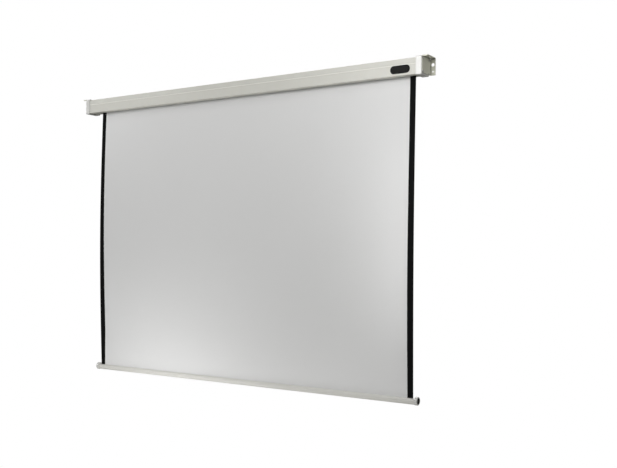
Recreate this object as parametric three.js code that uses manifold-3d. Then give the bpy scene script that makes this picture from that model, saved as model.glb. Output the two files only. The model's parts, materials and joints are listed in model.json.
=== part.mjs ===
// Wall-mounted roll-down projection screen, 4:3, with a tubular motor in its roller.
// Millimetres. +X runs right seen from the front, +Y runs back to the wall and +Z is up.
// The origin lies on the wall, at the middle of the case's length and height.
import * as THREE from 'three';
import { mergeVertices } from 'three/addons/utils/BufferGeometryUtils.js';
import Module from 'manifold-3d';

const wasm = await Module();
wasm.setup();

// Fits between pieces
const SEAT_GAP = 0.3; // between pieces that rest on or in each other
const RUNNING_GAP = 0.4; // between a turning piece and its seat
const CUT_OVERRUN = 6; // how far a cutting tool runs past what it cuts

// Case: two aluminium profiles, a rear one and a front cover, with one outline
const CASE_HEIGHT = 79;
const CASE_DEPTH = 81;
const CASE_WALL = 1.6;
const CASE_TOP_RADIUS = 3;
const CASE_FRONT_RADIUS = 4; // lower front edge
const CASE_BACK_RADIUS = 22; // lower back edge, which clears the wound fabric
const CASE_INNER_RADIUS = 0.8; // smallest inside corner
const WALL_CLEARANCE = 12; // between the case and the wall
const COVER_HEIGHT = 53; // the cover's share of the front, from below
const COVER_LIP_HEIGHT = 3; // bevel along the cover's upper edge, which catches the light
const COVER_LIP_DEPTH = 1.2;
const TONGUE_HEIGHT = 7; // the cover's tongue behind the rear profile's front lip
const TONGUE_ROOT = 5; // how far the tongue overlaps the cover's wall
const TONGUE_THICKNESS = 1.4;
const SLOT_AHEAD = 5.5; // slot edge in front of the fabric
const SLOT_BEHIND = 8; // slot edge behind the fabric
const SLOT_LIP_HEIGHT = 4; // upturned stiffening lips along the slot
const PORT_BORE_RADIUS = 2.2; // screw ports that run along the profiles
const PORT_WALL = 1.5;
const PORT_INSET = 7.5; // port centre from the outer faces
const PORT_SINK = 0.5; // how far the round port sinks into the curved wall
const COVER_PORT_HEIGHT = 13; // cover's port centre above the case's underside

// End caps: moulded cups that the case enters
const CAP_WIDTH = 29.5;
const CAP_END_WALL = 2.5;
const CAP_TOP_RISE = 4.5; // above the case
const CAP_RIM = 2.6; // before, behind and below the case
const CAP_INNER_WALL = 4.2; // the ledge that the case's end stops on
const CAP_LEAD_WIDTH = 3; // shadow groove round the cap's mouth, along the case
const CAP_LEAD_DEPTH = 1.5;
const CAP_EDGE_RADIUS = 1.4; // rounding of the outer end's edges
const CAP_GRIP = 10; // how far the case enters the cap
const CAP_BOSS_RADIUS = 4.2;
const CAP_CORNER_RADIUS = 3.5;

// Brackets: folded steel sheet
const PLATE_THICKNESS = 2.5;
const PLATE_BEND_RADIUS = 1.5; // inside radius of a fold
const PLATE_FRONT_INSET = 2; // from the case's front face back to the plate's edge
const PLATE_BOTTOM_RISE = 5.5; // from the case's underside up to the plate's edge
const PLATE_CORNER_RADIUS = 12;
const FLANGE_WIDTH = 25; // outward, from the plate's outer face
const BEND_RELIEF = 2; // notch beside each fold's end, at the flanges' common corner
const LIP_HEIGHT = 7; // the ceiling flange's front edge, turned down
const LIP_END_SLOPE = 7; // how far the lip's lower edge ends short of its upper one
const WALL_KEYHOLE_RADIUS = 8; // large upper hole, which a screw's head passes
const WALL_KEYHOLE_LEVEL = 15.5; // above the case's mid-height
const WALL_HOLE_RADIUS = 3.9;
const WALL_HOLE_LEVEL = -16.5;
const HOLE_INSET = 12; // hole centres from the plate's outer face
const CEILING_SLOT_WIDTH = 7;
const CEILING_SLOT_LENGTH = 18;
const CEILING_SLOT_DEPTH = 42; // slot centre from the wall

// Screws
const SCREW_RADIUS = 1.9;
const SCREW_HEAD_RADIUS = 3.7;
const SCREW_HEAD_HEIGHT = 2.4;
const SCREW_HEAD_EDGE = 0.8; // height of the head's straight rim
const SCREW_SOCKET_RADIUS = 1.5;
const SCREW_SOCKET_DEPTH = 1.3;
const SCREW_BITE = 12; // how far a case screw enters its port
const CARRIER_SCREW_BITE = 2; // how far a carrier screw enters the cap's end wall

// Badge plate, left blank
const BADGE_LENGTH = 101;
const BADGE_HEIGHT = 38;
const BADGE_THICKNESS = 1.6;
const BADGE_BEVEL = 0.7;
const BADGE_END_DISTANCE = 80.7; // badge centre from the case's right rim
const BADGE_LEVEL = -9.1; // below the case's mid-height

// Cable gland in the left end
const GLAND_BACK = 60; // gland centre from the wall
const GLAND_LEVEL = 27;
const GLAND_THREAD_RADIUS = 6;
const GLAND_BORE_RADIUS = 4;
const GLAND_DOME_RADIUS = 9;
const GLAND_DOME_LENGTH = 9;
const GLAND_MOUTH_RADIUS = 6.5;
const GLAND_NUT_RADIUS = 9.5;
const GLAND_NUT_LENGTH = 4;
const GLAND_THREAD_SPARE = 2; // thread past the nut

// Screen fabric
const PICTURE_WIDTH = 1990;
const BORDER_WIDTH = 30;
const PICTURE_DROP = 1500; // from the case's underside to the bottom bar
const FABRIC_THICKNESS = 0.4;
const FABRIC_DEPTH = 34; // from the case's front face back to the fabric
const LEFT_MARGIN = 75; // from the fabric's left edge to the cap's rim, which the motor head needs
const RIGHT_MARGIN = 14; // from the fabric's right edge to the cap's rim
const LEFT_CURL = 18; // how far the free edge comes forward at mid-height
const RIGHT_CURL = 10;
const CURL_REACH = 130; // width of the curled zone at each edge
const WRAP_GAP = 0.5; // air between the turns wound on the tube
const WRAP_TURNS = 2.25; // turns that stay on the tube when the screen is down

// Roller tube and what turns with it
const TUBE_RADIUS = 18;
const TUBE_WALL = 1.4;
const TUBE_OVERHANG = 6.5; // past the fabric's right edge
const ROLLER_LEVEL = -6; // axis, from the case's mid-height
const KEYWAY_WIDTH = 5;
const KEYWAY_DEPTH = 3;
const KEYWAY_WALL = 1.2;
const STRIP_HEIGHT = 2.4;
const COLLAR_THICKNESS = 3;
const CROWN_LENGTH = 25;
const DRIVE_WHEEL_LENGTH = 18;
const DRIVE_WHEEL_ARMS = 6;
const DRIVE_WHEEL_HUB_RADIUS = 8;
const DRIVE_WHEEL_RIM = 3;
const DRIVE_WHEEL_ARM_WIDTH = 3;
const IDLER_PLUG_LENGTH = 30;
const IDLER_PIN_RADIUS = 4;
const IDLER_PIN_SEAT = 22; // how far the pin goes into the plug

// Motor, which stays still inside the tube
const MOTOR_RADIUS = 13;
const MOTOR_LENGTH = 480;
const MOTOR_END_STEP = 3; // the gearbox end is a little thinner over this length
const HEAD_LENGTH = 40;
const HEAD_RADIUS = 17;
const HEAD_DISC_LENGTH = 26;
const HEAD_NECK_RADIUS = 14.5;
const HEAD_EDGE = 1.2;
const SPIGOT_SIZE = 12;
const SHAFT_SIZE = 8;
const ADJUSTER_RADIUS = 3;
const ADJUSTER_LENGTH = 6;
const ADJUSTER_SPACING = 11;
const ADJUSTER_SOCKET_RADIUS = 1.7;
const ADJUSTER_SOCKET_DEPTH = 2.5;

// Carriers in the end caps
const CARRIER_THICKNESS = 3; // motor side, steel
const CARRIER_HALF_HEIGHT = 19;
const CARRIER_BACK = 19; // behind the roller's axis
const CARRIER_FRONT = 32; // before the roller's axis
const CARRIER_CORNER_RADIUS = 8;
const CARRIER_SCREW_FRONT = 25.5; // screw centres before the roller's axis
const CARRIER_SCREW_SPREAD = 12; // above and below it
const BLOCK_THICKNESS = 14; // idler side, moulded
const BUSH_RADIUS = 8;
const BUSH_LENGTH = 10;

// Bottom bar
const BAR_HEIGHT = 29;
const BAR_DEPTH = 26;
const BAR_CORNER_RADIUS = 12.5;
const BAR_OVERHANG = 12; // past each fabric edge
const BAR_SLIT = 2;
const HEM_CHANNEL_RADIUS = 3.4;
const HEM_CHANNEL_DROP = 8; // channel centre below the bar's top
const WEIGHT_RADIUS = 6;
const WEIGHT_RISE = 8.6; // weight centre above the bar's underside
const BAR_CAP_LENGTH = 15;
const BAR_CAP_RADIUS = 20;
const BAR_CAP_FACE_RADIUS = 14.5;
const BAR_CAP_RECESS_RADIUS = 12.2; // of the hollow in the end face
const BAR_CAP_RECESS_DEPTH = 10;
const BAR_CAP_SHOULDER = 6; // length of the rounded shoulder
const BAR_CAP_RISE = 3.4; // cap centre above the bar's centre
const BAR_CAP_STUB = 8;
const STUB_END_GAP = 1; // between the stub and the weight

// Facet counts
const ARC_STEPS = 4; // half the steps of a quarter arc
const ROUND_STEPS = 32;
const SMALL_ROUND_STEPS = 16;
const SHOULDER_STEPS = 5;
const HEX_STEPS = 6;
const WRAP_STEPS = 36; // per turn
const DROP_STEPS = 16;
const CURL_STEPS = 4;
const BORDER_STEPS = 2;

// Places worked out from the sizes
const caseFront = -WALL_CLEARANCE - CASE_DEPTH;
const caseBack = -WALL_CLEARANCE;
const caseTop = CASE_HEIGHT / 2;
const caseBottom = -CASE_HEIGHT / 2;
const jointLevel = caseBottom + COVER_HEIGHT;
const fabricWidth = PICTURE_WIDTH + 2 * BORDER_WIDTH;
const rim = (LEFT_MARGIN + fabricWidth + RIGHT_MARGIN) / 2;
const caseEnd = rim + CAP_GRIP;
const capEnd = rim + CAP_WIDTH;
const capInner = capEnd - CAP_END_WALL;
const plateInner = capEnd + SEAT_GAP;
const plateOuter = plateInner + PLATE_THICKNESS;
const plateTop = caseTop + CAP_TOP_RISE + PLATE_THICKNESS;
const plateBottom = caseBottom + PLATE_BOTTOM_RISE;
const plateFront = caseFront + PLATE_FRONT_INSET;
const fabricPlane = caseFront + FABRIC_DEPTH;
const slotFront = fabricPlane - SLOT_AHEAD;
const slotBack = fabricPlane + SLOT_BEHIND;
const fabricLeft = LEFT_MARGIN - rim;
const fabricRight = rim - RIGHT_MARGIN;
const wrapInnerRadius = TUBE_RADIUS + SEAT_GAP + FABRIC_THICKNESS / 2;
const wrapPitch = FABRIC_THICKNESS + WRAP_GAP;
const wrapOuterRadius = wrapInnerRadius + wrapPitch * WRAP_TURNS;
const rollerAxis = { y: fabricPlane + wrapOuterRadius, z: ROLLER_LEVEL };
const tubeBore = TUBE_RADIUS - TUBE_WALL;
const plugRadius = tubeBore - SEAT_GAP;
const carrierInner = capInner - SEAT_GAP - CARRIER_THICKNESS;
const headOuter = carrierInner - SEAT_GAP;
const headInner = headOuter - HEAD_LENGTH;
const crownOuter = headInner - SEAT_GAP;
const tubeLeft = -(crownOuter - COLLAR_THICKNESS - SEAT_GAP);
const tubeRight = fabricRight + TUBE_OVERHANG;
const motorEnd = -headInner + SEAT_GAP + MOTOR_LENGTH;
const blockInner = capInner - SEAT_GAP - BLOCK_THICKNESS;
const barTop = caseBottom - PICTURE_DROP;
const barCentre = barTop - BAR_HEIGHT / 2;
const barLeft = fabricLeft - BAR_OVERHANG;
const barRight = fabricRight + BAR_OVERHANG;

// Colours and finishes
const paintedCase = new THREE.MeshStandardMaterial({ color: 0xcfcec6, roughness: 0.45, metalness: 0.1 });
const mouldedCap = new THREE.MeshStandardMaterial({ color: 0xd6d5cf, roughness: 0.35, metalness: 0 });
const bracketSteel = new THREE.MeshStandardMaterial({ color: 0xc2c2b8, roughness: 0.5, metalness: 0.3 });
const zincScrew = new THREE.MeshStandardMaterial({ color: 0xb4b6b8, roughness: 0.35, metalness: 0.9 });
const blackPlate = new THREE.MeshStandardMaterial({ color: 0x141414, roughness: 0.3, metalness: 0 });
const blackPlastic = new THREE.MeshStandardMaterial({ color: 0x222222, roughness: 0.55, metalness: 0 });
const greyPlastic = new THREE.MeshStandardMaterial({ color: 0x8e9092, roughness: 0.5, metalness: 0 });
const adjusterPlastic = new THREE.MeshStandardMaterial({ color: 0xd8d4c0, roughness: 0.5, metalness: 0 });
const rawAluminium = new THREE.MeshStandardMaterial({ color: 0xb8babc, roughness: 0.4, metalness: 0.9 });
const plainSteel = new THREE.MeshStandardMaterial({ color: 0x8c8f92, roughness: 0.4, metalness: 0.9 });
const bronze = new THREE.MeshStandardMaterial({ color: 0xa9854b, roughness: 0.4, metalness: 0.8 });
const screenWhite = new THREE.MeshStandardMaterial({ color: 0xe4e4e4, roughness: 0.9, metalness: 0 });
const borderBlack = new THREE.MeshStandardMaterial({ color: 0x101010, roughness: 0.9, metalness: 0 });
const barPaint = new THREE.MeshStandardMaterial({ color: 0xc6c6c2, roughness: 0.45, metalness: 0.1 });

// Geometry helpers

// A three.js geometry as a solid that can be joined and cut.
function solidOf(geometry) {
  const bare = geometry.clone();
  bare.deleteAttribute('normal');
  bare.deleteAttribute('uv');
  const merged = mergeVertices(bare);
  const corners = merged.index.array;
  const kept = [];
  for (let i = 0; i < corners.length; i += 3) {
    const [a, b, c] = [corners[i], corners[i + 1], corners[i + 2]];
    if (a !== b && b !== c && c !== a) kept.push(a, b, c);
  }
  return new wasm.Manifold(new wasm.Mesh({
    numProp: 3,
    vertProperties: new Float32Array(merged.attributes.position.array),
    triVerts: new Uint32Array(kept),
  }));
}

// A solid as a three.js geometry with flat facets.
function geometryOf(solid) {
  const mesh = solid.getMesh();
  const indexed = new THREE.BufferGeometry();
  indexed.setAttribute('position', new THREE.BufferAttribute(mesh.vertProperties, 3));
  indexed.setIndex(new THREE.BufferAttribute(mesh.triVerts, 1));
  const faceted = indexed.toNonIndexed();
  faceted.computeVertexNormals();
  return faceted;
}

const joined = (first, ...others) => others.reduce((whole, piece) => whole.add(piece), first);
const cutBy = (first, ...tools) => tools.reduce((whole, tool) => whole.subtract(tool), first);

// The same geometry on the other side of the middle plane x = 0.
function mirrored(geometry) {
  const plain = geometry.index ? geometry.toNonIndexed() : geometry.clone();
  plain.scale(-1, 1, 1);
  const position = plain.attributes.position;
  for (let i = 0; i < position.count; i += 3) {
    const second = new THREE.Vector3().fromBufferAttribute(position, i + 1);
    const third = new THREE.Vector3().fromBufferAttribute(position, i + 2);
    position.setXYZ(i + 1, third.x, third.y, third.z);
    position.setXYZ(i + 2, second.x, second.y, second.z);
  }
  plain.computeVertexNormals();
  return plain;
}

// Carries an extrusion's own axes (u, v, w) over to named axes of the part.
const AXES = {
  x: new THREE.Matrix4().set(0, 0, 1, 0, 1, 0, 0, 0, 0, 1, 0, 0, 0, 0, 0, 1), // u, v, w to y, z, x
  y: new THREE.Matrix4().set(0, 1, 0, 0, 0, 0, 1, 0, 1, 0, 0, 0, 0, 0, 0, 1), // u, v, w to z, x, y
  z: new THREE.Matrix4(), // u, v, w to x, y, z
};

// Extrudes a shape along one axis of the part, from one place on it to another.
function extruded(shape, axis, from, to, bevel = null) {
  const edge = bevel
    ? { bevelEnabled: true, bevelThickness: bevel, bevelSize: bevel, bevelOffset: -bevel, bevelSegments: 3 }
    : { bevelEnabled: false };
  const spare = bevel ?? 0;
  const depth = to - from - 2 * spare;
  const geometry = new THREE.ExtrudeGeometry(shape, { depth, curveSegments: ARC_STEPS, ...edge });
  geometry.translate(0, 0, from + spare);
  geometry.applyMatrix4(AXES[axis]);
  return solidOf(geometry);
}

// A box between two corners.
function block(low, high) {
  const geometry = new THREE.BoxGeometry(high[0] - low[0], high[1] - low[1], high[2] - low[2]);
  geometry.translate((low[0] + high[0]) / 2, (low[1] + high[1]) / 2, (low[2] + high[2]) / 2);
  return solidOf(geometry);
}

// A round bar along X about the line (y, z).
function rod(radius, from, to, { y, z }, steps = ROUND_STEPS) {
  const geometry = new THREE.CylinderGeometry(radius, radius, to - from, steps);
  geometry.rotateZ(-Math.PI / 2);
  geometry.translate((from + to) / 2, y, z);
  return solidOf(geometry);
}

// A turned piece along X: stations are [x, radius], and it is closed on its axis.
function turned(stations, { y, z }, steps = ROUND_STEPS) {
  const points = stations.map(([x, radius]) => new THREE.Vector2(radius, x));
  const geometry = new THREE.LatheGeometry(points, steps);
  geometry.rotateZ(-Math.PI / 2);
  geometry.translate(0, y, z);
  return solidOf(geometry);
}

// A rectangle with its own radius at each corner, as a shape over (u, v).
function roundedRect(left, right, low, high, { leftLow, rightLow, rightHigh, leftHigh }) {
  const shape = new THREE.Shape();
  shape.moveTo(left + leftLow, low);
  shape.lineTo(right - rightLow, low);
  shape.absarc(right - rightLow, low + rightLow, rightLow, -Math.PI / 2, 0, false);
  shape.lineTo(right, high - rightHigh);
  shape.absarc(right - rightHigh, high - rightHigh, rightHigh, 0, Math.PI / 2, false);
  shape.lineTo(left + leftHigh, high);
  shape.absarc(left + leftHigh, high - leftHigh, leftHigh, Math.PI / 2, Math.PI, false);
  shape.lineTo(left, low + leftLow);
  shape.absarc(left + leftLow, low + leftLow, leftLow, Math.PI, 1.5 * Math.PI, false);
  return shape;
}

const evenCorners = (radius) => ({ leftLow: radius, rightLow: radius, rightHigh: radius, leftHigh: radius });

// The case's outline over (y, z), moved inwards by an inset or outwards by a negative one.
function caseOutline(inset) {
  const radius = (outer) => Math.max(outer - inset, CASE_INNER_RADIUS);
  return roundedRect(caseFront + inset, caseBack - inset, caseBottom + inset, caseTop - inset, {
    leftLow: radius(CASE_FRONT_RADIUS),
    rightLow: radius(CASE_BACK_RADIUS),
    rightHigh: radius(CASE_TOP_RADIUS),
    leftHigh: radius(CASE_TOP_RADIUS),
  });
}

// Screw ports, which the caps' bosses and the case screws line up with
const backArc = { y: caseBack - CASE_BACK_RADIUS, z: caseBottom + CASE_BACK_RADIUS };
const backPortReach = CASE_BACK_RADIUS - CASE_WALL - PORT_BORE_RADIUS - PORT_WALL + PORT_SINK;
const ports = {
  front_top: { y: caseFront + PORT_INSET, z: caseTop - PORT_INSET },
  back_top: { y: caseBack - PORT_INSET, z: caseTop - PORT_INSET },
  back_low: {
    y: backArc.y + backPortReach * Math.SQRT1_2,
    z: backArc.z - backPortReach * Math.SQRT1_2,
  },
  front_low: { y: caseFront + PORT_INSET, z: caseBottom + COVER_PORT_HEIGHT },
};
const portOuter = PORT_BORE_RADIUS + PORT_WALL;
const portBore = (from, to, place) => rod(PORT_BORE_RADIUS, from, to, place, SMALL_ROUND_STEPS);

// Rear profile: back, top, curved rear underside and the upper third of the front.
function rearProfile() {
  const shell = cutBy(
    extruded(caseOutline(0), 'x', -caseEnd, caseEnd),
    extruded(caseOutline(CASE_WALL), 'x', -caseEnd - CUT_OVERRUN, caseEnd + CUT_OVERRUN),
  );
  const belowJoint = block(
    [-caseEnd - CUT_OVERRUN, caseFront - CUT_OVERRUN, caseBottom - CUT_OVERRUN],
    [caseEnd + CUT_OVERRUN, slotBack, jointLevel],
  );
  const lip = block(
    [-caseEnd, slotBack, caseBottom],
    [caseEnd, slotBack + CASE_WALL, caseBottom + SLOT_LIP_HEIGHT],
  );
  const frontBoss = block(
    [-caseEnd, caseFront + CASE_WALL / 2, ports.front_top.z - portOuter],
    [caseEnd, ports.front_top.y, caseTop - CASE_WALL / 2],
  );
  const backBoss = block(
    [-caseEnd, ports.back_top.y, ports.back_top.z - portOuter],
    [caseEnd, caseBack - CASE_WALL / 2, caseTop - CASE_WALL / 2],
  );
  const ownPorts = [ports.front_top, ports.back_top, ports.back_low];
  const rounds = ownPorts.map((port) => rod(portOuter, -caseEnd, caseEnd, port, SMALL_ROUND_STEPS));
  const bores = ownPorts.map((port) => portBore(-caseEnd - CUT_OVERRUN, caseEnd + CUT_OVERRUN, port));
  const whole = joined(shell.subtract(belowJoint), lip, frontBoss, backBoss, ...rounds);
  return cutBy(whole, ...bores);
}

// Front cover: the lower two thirds of the front, the rounded lower edge and the slot's front lip.
function frontCover() {
  const shell = cutBy(
    extruded(caseOutline(0), 'x', -caseEnd, caseEnd),
    extruded(caseOutline(CASE_WALL), 'x', -caseEnd - CUT_OVERRUN, caseEnd + CUT_OVERRUN),
  );
  const keep = block(
    [-caseEnd, caseFront - CUT_OVERRUN, caseBottom - CUT_OVERRUN],
    [caseEnd, slotFront, jointLevel - SEAT_GAP],
  );
  const lip = block(
    [-caseEnd, slotFront - CASE_WALL, caseBottom],
    [caseEnd, slotFront, caseBottom + SLOT_LIP_HEIGHT],
  );
  const tongueFront = caseFront + CASE_WALL + SEAT_GAP;
  const tongue = block(
    [-caseEnd, tongueFront, jointLevel - TONGUE_ROOT],
    [caseEnd, tongueFront + TONGUE_THICKNESS, jointLevel + TONGUE_HEIGHT],
  );
  const tongueFoot = block(
    [-caseEnd, caseFront + CASE_WALL / 2, jointLevel - TONGUE_ROOT],
    [caseEnd, tongueFront + TONGUE_THICKNESS, jointLevel - TONGUE_ROOT + TONGUE_THICKNESS],
  );
  const boss = block(
    [-caseEnd, caseFront + CASE_WALL / 2, ports.front_low.z - portOuter],
    [caseEnd, ports.front_low.y, ports.front_low.z + portOuter],
  );
  const round = rod(portOuter, -caseEnd, caseEnd, ports.front_low, SMALL_ROUND_STEPS);
  const bore = portBore(-caseEnd - CUT_OVERRUN, caseEnd + CUT_OVERRUN, ports.front_low);
  const whole = joined(shell.intersect(keep), lip, tongue, tongueFoot, boss, round);
  return cutBy(whole, bore, coverBevel());
}

// A tool that bevels the cover's upper edge.
function coverBevel() {
  const edge = jointLevel - SEAT_GAP;
  const shape = new THREE.Shape([
    new THREE.Vector2(caseFront - COVER_LIP_DEPTH, edge - COVER_LIP_HEIGHT),
    new THREE.Vector2(caseFront, edge - COVER_LIP_HEIGHT),
    new THREE.Vector2(caseFront + COVER_LIP_DEPTH, edge),
    new THREE.Vector2(caseFront + COVER_LIP_DEPTH, edge + COVER_LIP_HEIGHT),
    new THREE.Vector2(caseFront - COVER_LIP_DEPTH, edge + COVER_LIP_HEIGHT),
  ]);
  return extruded(shape, 'x', -caseEnd - CUT_OVERRUN, caseEnd + CUT_OVERRUN);
}

// Gland position, shared by the left cap, the left bracket and the gland's own pieces.
const gland = { y: -GLAND_BACK, z: GLAND_LEVEL };
const glandHole = (from, to) => rod(GLAND_THREAD_RADIUS + SEAT_GAP, from, to, gland);

// Right end cap: a cup with a rim over the case, a ledge for its end and a boss for each screw.
function endCap(withGland) {
  const outline = roundedRect(
    caseFront - CAP_RIM,
    caseBack + CAP_RIM,
    caseBottom - CAP_RIM,
    caseTop + CAP_TOP_RISE,
    {
      ...evenCorners(CAP_CORNER_RADIUS),
      rightLow: CASE_BACK_RADIUS / 2,
    },
  );
  const body = extruded(outline, 'x', rim - CAP_WIDTH, capEnd, CAP_EDGE_RADIUS)
    .subtract(block(
      [rim - CAP_WIDTH - CUT_OVERRUN, caseFront - CAP_RIM - CUT_OVERRUN, caseBottom - CAP_RIM - CUT_OVERRUN],
      [rim, caseBack + CAP_RIM + CUT_OVERRUN, caseTop + CAP_TOP_RISE + CUT_OVERRUN],
    ));
  const ledge = caseEnd + SEAT_GAP;
  const mouth = extruded(caseOutline(-SEAT_GAP), 'x', rim - CUT_OVERRUN, ledge);
  const leadOutline = caseOutline(-SEAT_GAP - CAP_LEAD_DEPTH);
  const lead = extruded(leadOutline, 'x', rim - CUT_OVERRUN, rim + CAP_LEAD_WIDTH);
  const hollow = extruded(caseOutline(CAP_INNER_WALL - CAP_RIM), 'x', rim - CUT_OVERRUN, capInner);
  const bosses = Object.values(ports)
    .map((port) => rod(CAP_BOSS_RADIUS, ledge, capInner + CAP_END_WALL / 2, port, SMALL_ROUND_STEPS));
  const bores = Object.values(ports).map((port) => portBore(rim, capEnd + CUT_OVERRUN, port));
  const pilotStart = capInner - CAP_END_WALL;
  const pilotEnd = capInner + CARRIER_SCREW_BITE + SEAT_GAP / 2;
  const pilots = carrierScrews.map((place) => portBore(pilotStart, pilotEnd, place));
  const whole = joined(cutBy(body, mouth, lead, hollow), ...bosses);
  const cut = cutBy(whole, ...bores, ...pilots);
  if (!withGland) return cut;
  return cut.subtract(glandHole(capInner - CUT_OVERRUN, capEnd + CUT_OVERRUN));
}

// A sheet folded into an angle: one leg along +u from the fold, the other along +v.
function foldedAngle(uLength, vLength) {
  const outer = PLATE_BEND_RADIUS + PLATE_THICKNESS;
  const shape = new THREE.Shape();
  shape.moveTo(uLength, 0);
  shape.lineTo(uLength, PLATE_THICKNESS);
  shape.lineTo(outer, PLATE_THICKNESS);
  shape.absarc(outer, outer, PLATE_BEND_RADIUS, -Math.PI / 2, -Math.PI, true);
  shape.lineTo(PLATE_THICKNESS, vLength);
  shape.lineTo(0, vLength);
  shape.lineTo(0, outer);
  shape.absarc(outer, outer, outer, Math.PI, 1.5 * Math.PI, false);
  return shape;
}

// A stadium-shaped slot over (u, v), long along v.
function slotShape(centreU, centreV, width, length) {
  return roundedRect(
    centreU - width / 2,
    centreU + width / 2,
    centreV - length / 2,
    centreV + length / 2,
    evenCorners(width / 2),
  );
}

// Right bracket: a side plate on the cap, a wall flange and a ceiling flange, both folded outwards.
function bracket(withGland) {
  const side = extruded(
    roundedRect(plateFront, 0, plateBottom, plateTop, {
      leftLow: PLATE_CORNER_RADIUS,
      rightLow: PLATE_BEND_RADIUS,
      rightHigh: PLATE_BEND_RADIUS,
      leftHigh: PLATE_BEND_RADIUS,
    }),
    'x',
    plateInner,
    plateOuter,
  );
  const outerBend = PLATE_BEND_RADIUS + PLATE_THICKNESS;
  const trims = joined(
    block([plateInner - CUT_OVERRUN, -outerBend, plateBottom - CUT_OVERRUN],
      [plateOuter + CUT_OVERRUN, CUT_OVERRUN, plateTop + CUT_OVERRUN]),
    block([plateInner - CUT_OVERRUN, plateFront - CUT_OVERRUN, plateTop - outerBend],
      [plateOuter + CUT_OVERRUN, CUT_OVERRUN, plateTop + CUT_OVERRUN]),
  );
  const reach = PLATE_THICKNESS + FLANGE_WIDTH;
  const foldEnd = { y: -outerBend - BEND_RELIEF, z: plateTop - outerBend - BEND_RELIEF };
  const wallAngle = solidOf(placedAngle(reach, outerBend + PLATE_THICKNESS, plateBottom, foldEnd.z, 'wall'));
  const topAngle = solidOf(placedAngle(reach, outerBend + PLATE_THICKNESS, plateFront, foldEnd.y, 'top'));
  const corner = block(
    [plateInner, foldEnd.y, foldEnd.z],
    [plateOuter, -PLATE_THICKNESS, plateTop - PLATE_THICKNESS],
  );
  const flatStart = plateInner + outerBend;
  const wallFlat = block(
    [flatStart, -PLATE_THICKNESS, foldEnd.z],
    [plateInner + reach, 0, plateTop - PLATE_THICKNESS - SEAT_GAP],
  );
  const topFlat = block(
    [flatStart, foldEnd.y, plateTop - PLATE_THICKNESS],
    [plateInner + reach, 0, plateTop],
  );
  const holeX = plateOuter + HOLE_INSET;
  const wallHoles = [[WALL_KEYHOLE_LEVEL, WALL_KEYHOLE_RADIUS], [WALL_HOLE_LEVEL, WALL_HOLE_RADIUS]]
    .map(([holeLevel, radius]) => extruded(
      slotShape(holeLevel, holeX, 2 * radius, 2 * radius),
      'y',
      -PLATE_THICKNESS - CUT_OVERRUN,
      CUT_OVERRUN,
    ));
  const ceilingSlot = extruded(
    slotShape(holeX, -CEILING_SLOT_DEPTH, CEILING_SLOT_WIDTH, CEILING_SLOT_LENGTH),
    'z',
    plateTop - PLATE_THICKNESS - CUT_OVERRUN,
    plateTop + CUT_OVERRUN,
  );
  const [holeFrom, holeTo] = [plateInner - CUT_OVERRUN, plateOuter + CUT_OVERRUN];
  const screwHoles = Object.values(ports).map((port) => portBore(holeFrom, holeTo, port));
  const lipBend = block(
    [flatStart, plateFront - CUT_OVERRUN, plateTop - outerBend],
    [plateInner + reach + CUT_OVERRUN, plateFront + outerBend, plateTop + CUT_OVERRUN],
  );
  const flanges = joined(wallAngle, topAngle.subtract(lipBend), wallFlat, topFlat);
  const whole = joined(side.subtract(trims), corner, flanges, frontLip(flatStart, plateInner + reach));
  const cut = cutBy(whole, ...wallHoles, ceilingSlot, ...screwHoles);
  if (!withGland) return cut;
  return cut.subtract(glandHole(holeFrom, holeTo));
}

// The ceiling flange's front edge, turned down, with a sloping outer end.
function frontLip(from, to) {
  const outerBend = PLATE_BEND_RADIUS + PLATE_THICKNESS;
  const centre = { y: plateFront + outerBend, z: plateTop - outerBend };
  const foot = plateTop - LIP_HEIGHT;
  const shape = new THREE.Shape();
  shape.moveTo(centre.y, plateTop);
  shape.absarc(centre.y, centre.z, outerBend, Math.PI / 2, Math.PI, false);
  shape.lineTo(plateFront, foot);
  shape.lineTo(plateFront + PLATE_THICKNESS, foot);
  shape.absarc(centre.y, centre.z, PLATE_BEND_RADIUS, Math.PI, Math.PI / 2, true);
  const slope = extruded(
    new THREE.Shape([
      new THREE.Vector2(foot - CUT_OVERRUN, to - LIP_END_SLOPE),
      new THREE.Vector2(foot, to - LIP_END_SLOPE),
      new THREE.Vector2(centre.z, to),
      new THREE.Vector2(centre.z, to + CUT_OVERRUN),
      new THREE.Vector2(foot - CUT_OVERRUN, to + CUT_OVERRUN),
    ]),
    'y',
    plateFront - CUT_OVERRUN,
    centre.y,
  );
  return extruded(shape, 'x', from, to).subtract(slope);
}

// An angle in place: 'wall' runs along Z and bends at the wall, 'top' runs along Y and bends at the top.
function placedAngle(reach, sideLength, from, to, kind) {
  const shape = foldedAngle(reach, sideLength);
  const geometry = new THREE.ExtrudeGeometry(shape, {
    depth: to - from,
    bevelEnabled: false,
    curveSegments: ARC_STEPS / 2,
  });
  const map = new THREE.Matrix4();
  if (kind === 'wall') {
    // u to +x, v to -y, w to -z
    map.set(1, 0, 0, plateInner, 0, -1, 0, 0, 0, 0, -1, to, 0, 0, 0, 1);
  } else {
    // u to +x, v to -z, w to +y
    map.set(1, 0, 0, plateInner, 0, 0, 1, from, 0, -1, 0, plateTop, 0, 0, 0, 1);
  }
  geometry.applyMatrix4(map);
  return geometry;
}

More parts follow.
